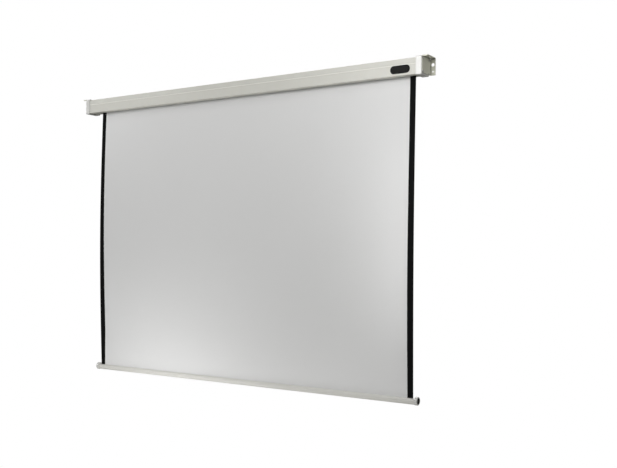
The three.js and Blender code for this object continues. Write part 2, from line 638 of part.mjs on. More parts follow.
// Screw along X with its head towards +X: the head's seat is at x = 0 and the shank goes to -length.
function screw(length) {
  const axis = { y: 0, z: 0 };
  const body = turned([
    [-length, 0],
    [-length, SCREW_RADIUS / 2],
    [-length + SCREW_RADIUS, SCREW_RADIUS],
    [0, SCREW_RADIUS],
    [0, SCREW_HEAD_RADIUS],
    [SCREW_HEAD_EDGE, SCREW_HEAD_RADIUS],
    [SCREW_HEAD_HEIGHT, SCREW_HEAD_RADIUS - SCREW_HEAD_EDGE],
    [SCREW_HEAD_HEIGHT, 0],
  ], axis, SMALL_ROUND_STEPS);
  const [from, to] = [SCREW_HEAD_HEIGHT - SCREW_SOCKET_DEPTH, SCREW_HEAD_HEIGHT + CUT_OVERRUN];
  return body.subtract(rod(SCREW_SOCKET_RADIUS, from, to, axis, HEX_STEPS));
}

// Blank badge plate with rounded ends and a bevelled edge.
function badge() {
  const centreX = rim - BADGE_END_DISTANCE;
  const back = caseFront - SEAT_GAP;
  const outline = roundedRect(
    BADGE_LEVEL - BADGE_HEIGHT / 2,
    BADGE_LEVEL + BADGE_HEIGHT / 2,
    centreX - BADGE_LENGTH / 2,
    centreX + BADGE_LENGTH / 2,
    evenCorners(BADGE_HEIGHT / 2),
  );
  const both = extruded(outline, 'y', back - BADGE_THICKNESS, back + BADGE_THICKNESS, BADGE_BEVEL);
  return both.subtract(block(
    [centreX - BADGE_LENGTH, back, BADGE_LEVEL - BADGE_HEIGHT],
    [centreX + BADGE_LENGTH, back + BADGE_THICKNESS + CUT_OVERRUN, BADGE_LEVEL + BADGE_HEIGHT],
  ));
}

// Cable gland, built at the right end and mirrored: a domed body with a bore, and its nut.
function glandBody() {
  const threadEnd = capInner - SEAT_GAP - GLAND_NUT_LENGTH - GLAND_THREAD_SPARE;
  const domeStart = plateOuter + SEAT_GAP;
  const domeEnd = domeStart + GLAND_DOME_LENGTH;
  const shoulder = GLAND_DOME_RADIUS - GLAND_MOUTH_RADIUS;
  const body = turned([
    [threadEnd, 0],
    [threadEnd, GLAND_THREAD_RADIUS],
    [domeStart, GLAND_THREAD_RADIUS],
    [domeStart, GLAND_DOME_RADIUS],
    [domeEnd - 2 * shoulder, GLAND_DOME_RADIUS],
    [domeEnd - shoulder / 2, GLAND_DOME_RADIUS - shoulder / 2],
    [domeEnd, GLAND_MOUTH_RADIUS],
    [domeEnd, 0],
  ], gland);
  const [from, to] = [threadEnd - CUT_OVERRUN, domeEnd + CUT_OVERRUN];
  return body.subtract(rod(GLAND_BORE_RADIUS, from, to, gland, SMALL_ROUND_STEPS));
}

function glandNut() {
  const outer = capInner - SEAT_GAP;
  const inner = outer - GLAND_NUT_LENGTH;
  return rod(GLAND_NUT_RADIUS, inner, outer, gland, HEX_STEPS)
    .subtract(glandHole(inner - CUT_OVERRUN, outer + CUT_OVERRUN));
}

// Carriers: plates in the end caps that hold the motor head on the left and the idler on the right
const carrierScrews = [-1, 1].map((side) => ({
  y: rollerAxis.y - CARRIER_SCREW_FRONT,
  z: rollerAxis.z + side * CARRIER_SCREW_SPREAD,
}));

function carrier(thickness) {
  const outline = roundedRect(
    rollerAxis.y - CARRIER_FRONT,
    rollerAxis.y + CARRIER_BACK,
    rollerAxis.z - CARRIER_HALF_HEIGHT,
    rollerAxis.z + CARRIER_HALF_HEIGHT,
    evenCorners(CARRIER_CORNER_RADIUS),
  );
  const outer = capInner - SEAT_GAP;
  const plate = extruded(outline, 'x', outer - thickness, outer);
  const [from, to] = [outer - thickness - CUT_OVERRUN, outer + CUT_OVERRUN];
  return cutBy(plate, ...carrierScrews.map((place) => portBore(from, to, place)));
}

// A square bar along X about the roller's axis.
function squareBar(size, from, to) {
  return block(
    [from, rollerAxis.y - size / 2, rollerAxis.z - size / 2],
    [to, rollerAxis.y + size / 2, rollerAxis.z + size / 2],
  );
}

function motorCarrier() {
  return carrier(CARRIER_THICKNESS)
    .subtract(squareBar(SPIGOT_SIZE + 2 * SEAT_GAP, carrierInner - CUT_OVERRUN, capInner + CUT_OVERRUN));
}

function idlerBlock() {
  const [from, to] = [blockInner - CUT_OVERRUN, blockInner + BUSH_LENGTH + SEAT_GAP];
  return carrier(BLOCK_THICKNESS).subtract(rod(BUSH_RADIUS + SEAT_GAP, from, to, rollerAxis));
}

function idlerBush() {
  const outer = blockInner + BUSH_LENGTH;
  const bore = rod(IDLER_PIN_RADIUS + RUNNING_GAP, blockInner - CUT_OVERRUN, outer + CUT_OVERRUN, rollerAxis);
  return rod(BUSH_RADIUS, blockInner, outer, rollerAxis).subtract(bore);
}

// The two limit adjusters point from the roller's axis to the fabric slot, so a key reaches them.
const slotCentre = { y: (slotFront + slotBack) / 2, z: caseBottom };
const toSlot = new THREE.Vector3(0, slotCentre.y - rollerAxis.y, slotCentre.z - rollerAxis.z);
const adjusterAim = toSlot.normalize();
const adjusterTurn = new THREE.Quaternion().setFromUnitVectors(new THREE.Vector3(1, 0, 0), adjusterAim);
const adjusterPlaces = [-1, 1].map((side) => new THREE.Vector3(
  -headOuter + HEAD_DISC_LENGTH / 2 + side * ADJUSTER_SPACING / 2,
  rollerAxis.y,
  rollerAxis.z,
).addScaledVector(adjusterAim, HEAD_RADIUS - ADJUSTER_LENGTH));

// Adjuster about its own X axis, from its foot at x = 0 out to its slotted face.
function adjuster() {
  const axis = { y: 0, z: 0 };
  const [from, to] = [ADJUSTER_LENGTH - ADJUSTER_SOCKET_DEPTH, ADJUSTER_LENGTH + CUT_OVERRUN];
  return rod(ADJUSTER_RADIUS, 0, ADJUSTER_LENGTH, axis, SMALL_ROUND_STEPS)
    .subtract(rod(ADJUSTER_SOCKET_RADIUS, from, to, axis, HEX_STEPS));
}

// Motor head at the left end, with its square spigot in the carrier and the adjusters' pockets.
function motorHead() {
  const discEnd = -headOuter + HEAD_DISC_LENGTH;
  const body = turned([
    [-headOuter, 0],
    [-headOuter, HEAD_RADIUS - HEAD_EDGE],
    [-headOuter + HEAD_EDGE, HEAD_RADIUS],
    [discEnd, HEAD_RADIUS],
    [discEnd, HEAD_NECK_RADIUS],
    [-headInner, HEAD_NECK_RADIUS],
    [-headInner, 0],
  ], rollerAxis);
  const spigot = squareBar(SPIGOT_SIZE, -headOuter - CARRIER_THICKNESS, -headOuter + HEAD_EDGE);
  const pockets = adjusterPlaces.map((place) => {
    const geometry = new THREE.CylinderGeometry(
      ADJUSTER_RADIUS + SEAT_GAP,
      ADJUSTER_RADIUS + SEAT_GAP,
      ADJUSTER_LENGTH + CUT_OVERRUN + SEAT_GAP,
      SMALL_ROUND_STEPS,
    );
    geometry.rotateZ(-Math.PI / 2);
    geometry.translate((ADJUSTER_LENGTH + CUT_OVERRUN - SEAT_GAP) / 2, 0, 0);
    geometry.applyQuaternion(adjusterTurn);
    geometry.translate(place.x, place.y, place.z);
    return solidOf(geometry);
  });
  return cutBy(body.add(spigot), ...pockets);
}

function motorTube() {
  const start = -headInner + SEAT_GAP;
  const neck = motorEnd - MOTOR_END_STEP;
  return turned([
    [start, 0],
    [start, MOTOR_RADIUS],
    [neck, MOTOR_RADIUS],
    [motorEnd, MOTOR_RADIUS - MOTOR_END_STEP],
    [motorEnd, 0],
  ], rollerAxis);
}

// Roller tube with a keyway along its top, which holds the fabric and drives the plugs.
function keywayBox(extraWidth, depth, from, to) {
  const half = KEYWAY_WIDTH / 2 + extraWidth;
  return block(
    [from, rollerAxis.y - half, rollerAxis.z + TUBE_RADIUS - depth],
    [to, rollerAxis.y + half, rollerAxis.z + TUBE_RADIUS + CUT_OVERRUN],
  );
}

function rollerTube() {
  const ring = rod(TUBE_RADIUS, tubeLeft, tubeRight, rollerAxis)
    .subtract(rod(tubeBore, tubeLeft - CUT_OVERRUN, tubeRight + CUT_OVERRUN, rollerAxis));
  const trough = keywayBox(KEYWAY_WALL, KEYWAY_DEPTH + KEYWAY_WALL, tubeLeft, tubeRight)
    .intersect(rod(TUBE_RADIUS - SEAT_GAP / 2, tubeLeft, tubeRight, rollerAxis));
  const keyway = keywayBox(0, KEYWAY_DEPTH, tubeLeft - CUT_OVERRUN, tubeRight + CUT_OVERRUN);
  return ring.add(trough).subtract(keyway);
}

// The notch that lets a plug slide over the tube's inward keyway.
function keywayNotch(from, to) {
  return keywayBox(KEYWAY_WALL + SEAT_GAP, KEYWAY_DEPTH + KEYWAY_WALL + SEAT_GAP, from, to);
}

function fabricStrip() {
  const half = KEYWAY_WIDTH / 2 - SEAT_GAP;
  const foot = rollerAxis.z + TUBE_RADIUS - KEYWAY_DEPTH + SEAT_GAP;
  return block(
    [fabricLeft, rollerAxis.y - half, foot],
    [fabricRight, rollerAxis.y + half, foot + STRIP_HEIGHT],
  );
}

// Crown: a collared sleeve that turns on the motor and reads the tube's turns.
function crown() {
  const outer = -crownOuter;
  const collarEnd = outer + COLLAR_THICKNESS;
  const sleeveEnd = tubeLeft + CROWN_LENGTH;
  const sleeve = rod(plugRadius, outer, sleeveEnd, rollerAxis)
    .subtract(keywayNotch(collarEnd, sleeveEnd + CUT_OVERRUN));
  return rod(TUBE_RADIUS, outer, collarEnd, rollerAxis)
    .add(sleeve)
    .subtract(rod(MOTOR_RADIUS + RUNNING_GAP, outer - CUT_OVERRUN, sleeveEnd + CUT_OVERRUN, rollerAxis));
}

// Drive wheel on the motor's shaft: a hub, arms and a rim with the notch for the keyway.
function driveWheel() {
  const from = motorEnd + RUNNING_GAP;
  const to = from + DRIVE_WHEEL_LENGTH;
  const rimRing = rod(plugRadius, from, to, rollerAxis)
    .subtract(rod(plugRadius - DRIVE_WHEEL_RIM, from - CUT_OVERRUN, to + CUT_OVERRUN, rollerAxis));
  const hub = rod(DRIVE_WHEEL_HUB_RADIUS, from, to, rollerAxis);
  const arms = Array.from({ length: DRIVE_WHEEL_ARMS }, (unused, i) => {
    const reach = plugRadius - DRIVE_WHEEL_RIM / 2;
    const geometry = new THREE.BoxGeometry(to - from, DRIVE_WHEEL_ARM_WIDTH, reach);
    geometry.translate((from + to) / 2, 0, reach / 2);
    geometry.rotateX((i + 0.5) * 2 * Math.PI / DRIVE_WHEEL_ARMS);
    geometry.translate(0, rollerAxis.y, rollerAxis.z);
    return solidOf(geometry);
  });
  return joined(hub, ...arms, rimRing)
    .subtract(keywayNotch(from - CUT_OVERRUN, to + CUT_OVERRUN))
    .subtract(squareBar(SHAFT_SIZE + 2 * SEAT_GAP, from - CUT_OVERRUN, to + CUT_OVERRUN));
}

function driveShaft() {
  const from = motorEnd + RUNNING_GAP;
  return squareBar(SHAFT_SIZE, from, from + DRIVE_WHEEL_LENGTH + COLLAR_THICKNESS);
}

function idlerPlug() {
  const from = tubeRight - IDLER_PLUG_LENGTH;
  const collar = tubeRight + SEAT_GAP;
  const body = joined(
    rod(plugRadius, from, collar, rollerAxis).subtract(keywayNotch(from - CUT_OVERRUN, collar)),
    rod(TUBE_RADIUS, collar, collar + COLLAR_THICKNESS, rollerAxis),
  );
  const bore = rod(
    IDLER_PIN_RADIUS + SEAT_GAP,
    collar + COLLAR_THICKNESS - IDLER_PIN_SEAT - SEAT_GAP,
    collar + COLLAR_THICKNESS + CUT_OVERRUN,
    rollerAxis,
  );
  return body.subtract(bore);
}

function idlerPin() {
  const from = tubeRight + SEAT_GAP + COLLAR_THICKNESS - IDLER_PIN_SEAT;
  return rod(IDLER_PIN_RADIUS, from, blockInner + BUSH_LENGTH - RUNNING_GAP, rollerAxis);
}

// Fabric that stays wound on the tube: one unbroken spiral from the keyway to the tangent point.
function fabricWraps() {
  const steps = Math.round(WRAP_STEPS * WRAP_TURNS);
  const spiral = (side) => Array.from({ length: steps + 1 }, (unused, i) => {
    const turns = WRAP_TURNS * i / steps;
    const angle = Math.PI / 2 + 2 * Math.PI * turns;
    const radius = wrapInnerRadius + wrapPitch * turns + side * FABRIC_THICKNESS / 2;
    const [across, up] = [radius * Math.cos(angle), radius * Math.sin(angle)];
    return new THREE.Vector2(rollerAxis.y + across, rollerAxis.z + up);
  });
  const outer = spiral(1);
  const inner = spiral(-1);
  const leastGap = Math.min(...outer.slice(0, -WRAP_STEPS).map((point, i) => Math.min(
    ...inner.slice(i + WRAP_STEPS / 2).map((other) => point.distanceTo(other)),
  )));
  console.log(`least gap between the fabric's turns: ${leastGap.toFixed(3)} mm`);
  return extruded(new THREE.Shape([...outer, ...inner.reverse()]), 'x', fabricLeft, fabricRight);
}

// Evenly spaced values from one end to the other, both ends included.
function span(from, to, steps) {
  return Array.from({ length: steps + 1 }, (unused, i) => from + (to - from) * i / steps);
}

// How far the fabric stands before its plane: both free edges curl forwards between case and bar.
function curlAt(x, z) {
  const drop = THREE.MathUtils.clamp((caseBottom - z) / PICTURE_DROP, 0, 1);
  const bow = Math.sin(Math.PI * drop);
  const left = Math.max(0, 1 - (x - fabricLeft) / CURL_REACH) ** 2;
  const right = Math.max(0, 1 - (fabricRight - x) / CURL_REACH) ** 2;
  return bow * (LEFT_CURL * left + RIGHT_CURL * right);
}

// A thin hanging sheet over the given columns, following the curl, as one closed body.
function hangingSheet(columns) {
  const top = rollerAxis.z - SEAT_GAP;
  const hemEnd = barTop - HEM_CHANNEL_DROP + hemRodRadius + SEAT_GAP;
  const levels = [top, ...span(caseBottom, barTop, DROP_STEPS), hemEnd];
  const across = columns.length;
  const positions = [];
  for (const side of [-1, 1]) {
    for (const z of levels) {
      for (const x of columns) {
        positions.push(x, fabricPlane - curlAt(x, z) + side * FABRIC_THICKNESS / 2, z);
      }
    }
  }
  const layer = across * levels.length;
  const indices = [];
  const quad = (a, b, c, d) => indices.push(a, b, c, a, c, d);
  const at = (row, column) => row * across + column;
  for (let row = 0; row + 1 < levels.length; row += 1) {
    for (let column = 0; column + 1 < across; column += 1) {
      const [a, d] = [at(row, column), at(row, column + 1)];
      const [b, c] = [at(row + 1, column), at(row + 1, column + 1)];
      quad(a, b, c, d);
      quad(layer + a, layer + d, layer + c, layer + b);
    }
    const last = across - 1;
    quad(at(row, 0), layer + at(row, 0), layer + at(row + 1, 0), at(row + 1, 0));
    quad(at(row, last), at(row + 1, last), layer + at(row + 1, last), layer + at(row, last));
  }
  const bottom = levels.length - 1;
  for (let column = 0; column + 1 < across; column += 1) {
    quad(at(0, column), at(0, column + 1), layer + at(0, column + 1), layer + at(0, column));
    const [near, far] = [at(bottom, column), at(bottom, column + 1)];
    quad(near, layer + near, layer + far, far);
  }
  const geometry = new THREE.BufferGeometry();
  geometry.setAttribute('position', new THREE.Float32BufferAttribute(positions, 3));
  geometry.setIndex(indices);
  return solidOf(geometry);
}

const hemRodRadius = HEM_CHANNEL_RADIUS - SEAT_GAP;
const pictureLeft = fabricLeft + BORDER_WIDTH;
const pictureRight = fabricRight - BORDER_WIDTH;

function pictureFabric() {
  return hangingSheet([
    ...span(pictureLeft, fabricLeft + CURL_REACH, CURL_STEPS),
    ...span(fabricRight - CURL_REACH, pictureRight, CURL_STEPS),
  ]);
}

const leftBorder = () => hangingSheet(span(fabricLeft, pictureLeft - SEAT_GAP, BORDER_STEPS));
const rightBorder = () => hangingSheet(span(pictureRight + SEAT_GAP, fabricRight, BORDER_STEPS));

// Bottom bar: a rounded profile with a slit and channel for the hem and a chamber for the weight.
const hemChannel = { y: fabricPlane, z: barTop - HEM_CHANNEL_DROP };
const weightChannel = { y: fabricPlane, z: barTop - BAR_HEIGHT + WEIGHT_RISE };
const barCapAxis = { y: fabricPlane, z: barCentre + BAR_CAP_RISE };

function barProfile() {
  const outline = roundedRect(
    fabricPlane - BAR_DEPTH / 2,
    fabricPlane + BAR_DEPTH / 2,
    barTop - BAR_HEIGHT,
    barTop,
    evenCorners(BAR_CORNER_RADIUS),
  );
  const [from, to] = [barLeft - CUT_OVERRUN, barRight + CUT_OVERRUN];
  return cutBy(
    extruded(outline, 'x', barLeft, barRight),
    block(
      [from, fabricPlane - BAR_SLIT / 2, hemChannel.z],
      [to, fabricPlane + BAR_SLIT / 2, barTop + CUT_OVERRUN],
    ),
    rod(HEM_CHANNEL_RADIUS, from, to, hemChannel, SMALL_ROUND_STEPS),
    rod(WEIGHT_RADIUS + SEAT_GAP, from, to, weightChannel, SMALL_ROUND_STEPS),
  );
}

const hemRod = () => rod(hemRodRadius, fabricLeft, fabricRight, hemChannel, SMALL_ROUND_STEPS);

function weightRod() {
  const inset = BAR_CAP_STUB + STUB_END_GAP;
  return rod(WEIGHT_RADIUS, barLeft + inset, barRight - inset, weightChannel, SMALL_ROUND_STEPS);
}

// Bar cap about its own axis: the bar's end is at x = 0 and the cap reaches out to +X.
function barCap() {
  const axis = { y: 0, z: 0 };
  const inner = SEAT_GAP;
  const outer = BAR_CAP_LENGTH;
  const shoulder = Array.from({ length: SHOULDER_STEPS + 1 }, (unused, i) => {
    const angle = Math.PI / 2 * i / SHOULDER_STEPS;
    const drop = BAR_CAP_RADIUS - BAR_CAP_FACE_RADIUS;
    return [
      outer - BAR_CAP_SHOULDER + BAR_CAP_SHOULDER * Math.sin(angle),
      BAR_CAP_FACE_RADIUS + drop * Math.cos(angle),
    ];
  });
  const body = turned([
    [inner, 0],
    [inner, BAR_CAP_RADIUS],
    ...shoulder,
    [outer, BAR_CAP_RECESS_RADIUS],
    [outer - BAR_CAP_RECESS_DEPTH, BAR_CAP_RECESS_RADIUS],
    [outer - BAR_CAP_RECESS_DEPTH, 0],
  ], axis);
  const stubAxis = { y: 0, z: weightChannel.z - barCapAxis.z };
  return body.add(rod(WEIGHT_RADIUS, -BAR_CAP_STUB, BAR_CAP_STUB / 2, stubAxis, SMALL_ROUND_STEPS));
}

// The assembly

const screen = new THREE.Group();
screen.name = 'projection_screen';

// Adds a named mesh to a group, and returns it so that it can be placed.
function add(name, geometry, material, parent = screen) {
  const mesh = new THREE.Mesh(geometry, material);
  mesh.name = name;
  parent.add(mesh);
  return mesh;
}

add('rear_profile', geometryOf(rearProfile()), paintedCase);
add('front_cover', geometryOf(frontCover()), paintedCase);
add('badge_plate', geometryOf(badge()), blackPlate);

add('right_end_cap', geometryOf(endCap(false)), mouldedCap);
add('left_end_cap', mirrored(geometryOf(endCap(true))), mouldedCap);
add('right_bracket', geometryOf(bracket(false)), bracketSteel);
add('left_bracket', mirrored(geometryOf(bracket(true))), bracketSteel);
add('cable_gland', mirrored(geometryOf(glandBody())), blackPlastic);
add('gland_nut', mirrored(geometryOf(glandNut())), blackPlastic);

const caseScrew = geometryOf(screw(plateOuter + SEAT_GAP - caseEnd + SCREW_BITE));
const carrierScrew = (thickness) => geometryOf(screw(thickness + 2 * SEAT_GAP + CARRIER_SCREW_BITE));
for (const [side, name] of [[1, 'right'], [-1, 'left']]) {
  for (const [place, port] of Object.entries(ports)) {
    const placed = add(`${name}_case_screw_${place}`, caseScrew, zincScrew);
    placed.position.set(side * (plateOuter + SEAT_GAP), port.y, port.z);
    if (side < 0) placed.rotation.z = Math.PI;
  }
  const thickness = side > 0 ? BLOCK_THICKNESS : CARRIER_THICKNESS;
  carrierScrews.forEach((place, i) => {
    const placed = add(`${name}_carrier_screw_${i + 1}`, carrierScrew(thickness), zincScrew);
    placed.position.set(side * (capInner - 2 * SEAT_GAP - thickness), place.y, place.z);
    if (side > 0) placed.rotation.z = Math.PI;
  });
}

add('motor_carrier', mirrored(geometryOf(motorCarrier())), plainSteel);
add('motor_head', geometryOf(motorHead()), blackPlastic);
add('motor_tube', geometryOf(motorTube()), plainSteel);
adjusterPlaces.forEach((place, i) => {
  const placed = add(`limit_adjuster_${['up', 'down'][i]}`, geometryOf(adjuster()), adjusterPlastic);
  placed.position.copy(place);
  placed.quaternion.copy(adjusterTurn);
});
add('idler_block', geometryOf(idlerBlock()), greyPlastic);
add('idler_bush', geometryOf(idlerBush()), bronze);

add('roller_tube', geometryOf(rollerTube()), rawAluminium);
add('fabric_strip', geometryOf(fabricStrip()), greyPlastic);
add('crown', geometryOf(crown()), blackPlastic);
add('drive_wheel', geometryOf(driveWheel()), greyPlastic);
add('drive_shaft', geometryOf(driveShaft()), plainSteel);
add('idler_plug', geometryOf(idlerPlug()), blackPlastic);
add('idler_pin', geometryOf(idlerPin()), plainSteel);
add('fabric_wraps', geometryOf(fabricWraps()), screenWhite);

add('picture_fabric', geometryOf(pictureFabric()), screenWhite);
add('left_border', geometryOf(leftBorder()), borderBlack);
add('right_border', geometryOf(rightBorder()), borderBlack);

add('bar_profile', geometryOf(barProfile()), barPaint);
add('hem_rod', geometryOf(hemRod()), greyPlastic);
add('weight_rod', geometryOf(weightRod()), plainSteel);
const rightBarCap = add('right_bar_cap', geometryOf(barCap()), mouldedCap);
rightBarCap.position.set(barRight, barCapAxis.y, barCapAxis.z);
const leftBarCap = add('left_bar_cap', mirrored(geometryOf(barCap())), mouldedCap);
leftBarCap.position.set(barLeft, barCapAxis.y, barCapAxis.z);

export default screen;
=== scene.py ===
"""Wall-mounted roll-down projection screen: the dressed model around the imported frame.

Metres, +X right seen from the front, +Y back to the wall and +Z up. The origin lies on the
wall, at the middle of the case. Each sub-assembly is a class that builds and dresses its pieces.
"""

import json
import logging
import math
from contextlib import contextmanager
from dataclasses import dataclass, field
from enum import Enum
from typing import Callable, Iterator

import bmesh
import bpy
from mathutils import Matrix, Vector


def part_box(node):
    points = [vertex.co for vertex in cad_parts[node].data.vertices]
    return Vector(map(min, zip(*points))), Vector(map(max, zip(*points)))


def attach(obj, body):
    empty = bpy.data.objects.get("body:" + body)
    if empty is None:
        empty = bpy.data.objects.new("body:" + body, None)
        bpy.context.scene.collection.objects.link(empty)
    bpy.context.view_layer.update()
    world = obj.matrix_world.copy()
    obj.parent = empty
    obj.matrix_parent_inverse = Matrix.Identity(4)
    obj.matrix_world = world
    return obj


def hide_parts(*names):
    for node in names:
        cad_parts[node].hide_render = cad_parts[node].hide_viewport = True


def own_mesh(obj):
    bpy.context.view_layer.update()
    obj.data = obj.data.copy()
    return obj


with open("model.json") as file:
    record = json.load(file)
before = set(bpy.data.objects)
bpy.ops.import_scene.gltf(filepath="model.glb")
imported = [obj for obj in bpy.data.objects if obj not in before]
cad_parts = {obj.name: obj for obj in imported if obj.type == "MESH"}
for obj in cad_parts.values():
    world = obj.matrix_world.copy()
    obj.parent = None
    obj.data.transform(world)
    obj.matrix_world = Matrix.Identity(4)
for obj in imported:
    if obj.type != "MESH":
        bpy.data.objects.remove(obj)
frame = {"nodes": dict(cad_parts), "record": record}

LOG = logging.getLogger("projection_screen")
MM = 0.001
WELD_REACH = 0.002 * MM
PHOTO_WIDTH = 617

# Faces merge into one flat below the first angle, shade as one curve below the second, and have
# their common edge rounded above the third
FLAT_DEGREES = 0.5
SMOOTH_DEGREES = 35.0
SHARP_DEGREES = 40.0

# Cosines of the angle between a face or an edge and the direction that it is tested for
FACING = 0.999
NEARLY_FACING = 0.9

# The faces of a piece's sides have no more corners than this, and its round ends have
FEW_CORNERS = 8

Colour = tuple[float, float, float]
Point = tuple[float, float, float]
InputValues = dict[str | int, float | tuple[float, ...]]
ElementTest = Callable[[bmesh.types.BMFace | bmesh.types.BMEdge], bool]


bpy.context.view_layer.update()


class Side(Enum):
    """One end of the screen, seen from the front."""

    LEFT = -1
    RIGHT = 1

    @property
    def word(self) -> str:
        """The side's name in piece and node names."""
        return self.name.lower()


class Surface(Enum):
    """How a finish breaks up its surface."""

    GRAIN = "grain"
    DRAWN = "drawn"
    CLOTH = "cloth"


# Modelling helpers


def deselect_all() -> None:
    """Deselects every object, in object mode."""
    if bpy.context.mode != "OBJECT":
        bpy.ops.object.mode_set(mode="OBJECT")
    bpy.ops.object.select_all(action="DESELECT")


def activate(piece: bpy.types.Object) -> None:
    """Makes one piece the only selected and active object.

    Args:
        piece: The piece to work on.
    """
    deselect_all()
    piece.select_set(True)
    bpy.context.view_layer.objects.active = piece


@contextmanager
def edit_mode(piece: bpy.types.Object) -> Iterator[None]:
    """Opens a piece in edit mode for the length of a with block.

    Args:
        piece: The mesh to edit.

    Yields:
        Nothing.
    """
    activate(piece)
    bpy.ops.object.mode_set(mode="EDIT")
    try:
        yield
    finally:
        bpy.ops.object.mode_set(mode="OBJECT")


def select(piece: bpy.types.Object, kind: str, test: ElementTest) -> None:
    """Selects the faces or the edges that pass a test, in edit mode.

    Args:
        piece: The mesh in edit mode.
        kind: FACE or EDGE.
        test: Says whether a face or an edge is selected.
    """
    bpy.ops.mesh.select_mode(type=kind)
    bpy.ops.mesh.select_all(action="DESELECT")
    mesh = bmesh.from_edit_mesh(piece.data)
    for element in mesh.faces if kind == "FACE" else mesh.edges:
        element.select_set(test(element))
    mesh.select_flush_mode()
    bmesh.update_edit_mesh(piece.data)


def settle(piece: bpy.types.Object) -> None:
    """Moves a piece's place, turn and size into its mesh.

    Args:
        piece: The finished mesh.
    """
    activate(piece)
    bpy.ops.object.transform_apply(location=True, rotation=True, scale=True)


def apply_modifiers(piece: bpy.types.Object) -> None:
    """Applies all of a piece's modifiers in order.

    Args:
        piece: The mesh that carries them.
    """
    activate(piece)
    for modifier in list(piece.modifiers):
        bpy.ops.object.modifier_apply(modifier=modifier.name)


def smooth(piece: bpy.types.Object) -> None:
    """Shades a piece smooth, with its sharp edges sharp and its flats flat.

    Args:
        piece: The finished mesh.
    """
    activate(piece)
    bpy.ops.object.shade_smooth_by_angle(angle=math.radians(SMOOTH_DEGREES))
    flats = piece.modifiers.new("flat_faces_lead", "WEIGHTED_NORMAL")
    flats.keep_sharp = True
    apply_modifiers(piece)


def bevelled(piece: bpy.types.Object, width: float, segments: int = 2,
             degrees: float = SHARP_DEGREES) -> None:
    """Rounds a piece's sharp edges.

    Args:
        piece: The mesh to round.
        width: How far the rounding reaches from an edge.
        segments: How many faces make the rounding.
        degrees: Edges sharper than this are rounded.
    """
    modifier = piece.modifiers.new("edge_rounding", "BEVEL")
    modifier.width = width
    modifier.segments = segments
    modifier.limit_method = "ANGLE"
    modifier.angle_limit = math.radians(degrees)
    modifier.use_clamp_overlap = True
    apply_modifiers(piece)


def add_object(name: str, data: bpy.types.ID) -> bpy.types.Object:
    """Puts an object with a mesh, a light or a camera in the scene.

    Args:
        name: The object's name.
        data: What it shows.

    Returns:
        The new object.
    """
    made = bpy.data.objects.new(name, data)
    bpy.context.scene.collection.objects.link(made)
    return made


def named_mesh(name: str) -> bpy.types.Object:
    """Names the mesh that was added last and moves its place into it.

    Args:
        name: The piece's name.

    Returns:
        The piece.
    """
    piece = bpy.context.active_object
    piece.name = name
    settle(piece)
    return piece


def refined_copy(node: str, name: str, rounding: float) -> bpy.types.Object:
    """Copies a frame node's solid, welds it and rounds its sharp edges a little.

    Args:
        node: The node to copy.
        name: The new piece's name.
        rounding: How far the edge rounding reaches.

    Returns:
        The new piece, with its place in its mesh.
    """
    piece = add_object(name, frame["nodes"][node].data.copy())
    piece.data.materials.clear()
    with edit_mode(piece):
        bpy.ops.mesh.select_all(action="SELECT")
        bpy.ops.mesh.remove_doubles(threshold=WELD_REACH)
        bpy.ops.mesh.dissolve_limited(angle_limit=math.radians(FLAT_DEGREES))
    bevelled(piece, rounding)
    smooth(piece)
    return piece


def block(name: str, low: Vector, high: Vector) -> bpy.types.Object:
    """Adds a box between two corners as the start of a piece.

    Args:
        name: The piece's name.
        low: Its lowest corner.
        high: Its highest corner.

    Returns:
        The box, with its place in its mesh.
    """
    deselect_all()
    bpy.ops.mesh.primitive_cube_add(size=1.0, location=(low + high) / 2, scale=high - low)
    return named_mesh(name)


def round_blank(name: str, face: Vector, reach: Vector, radius: float, steps: int) -> bpy.types.Object:
    """Adds a round bar as the start of a piece.

    Args:
        name: The piece's name.
        face: The middle of its first end.
        reach: The way from there to its other end.
        radius: Its radius.
        steps: Faces round it.

    Returns:
        The bar, with its place in its mesh.
    """
    deselect_all()
    turn = reach.to_track_quat("Z", "Y").to_euler()
    bpy.ops.mesh.primitive_cylinder_add(vertices=steps, radius=radius, depth=reach.length,
                                        location=face + reach / 2, rotation=turn)
    return named_mesh(name)


def select_ends(piece: bpy.types.Object, way: Vector) -> None:
    """Selects the many-sided end faces that look one way, in edit mode.

    Args:
        piece: The mesh in edit mode.
        way: The direction.
    """
    select(piece, "FACE", lambda face: face.normal.dot(way) > FACING and len(face.verts) > FEW_CORNERS)


def push(way: Vector) -> None:
    """Extrudes the selected faces.

    Args:
        way: How far and where to.
    """
    bpy.ops.mesh.extrude_region_move(TRANSFORM_OT_translate={"value": way})


# Node groups that several finishes share


def add_node(tree: bpy.types.NodeTree, kind: str, values: InputValues | None = None,
             **settings: object) -> bpy.types.Node:
    """Adds a shader node with some of its settings.

    Args:
        tree: The tree that it joins.
        kind: The node's type without its prefix.
        values: What its inputs hold, by name or by number.
        **settings: Attributes of the node.

    Returns:
        The new node.
    """
    made = tree.nodes.new(f"ShaderNode{kind}")
    for key, value in settings.items():
        setattr(made, key, value)
    for key, value in (values or {}).items():
        made.inputs[key].default_value = value
    return made


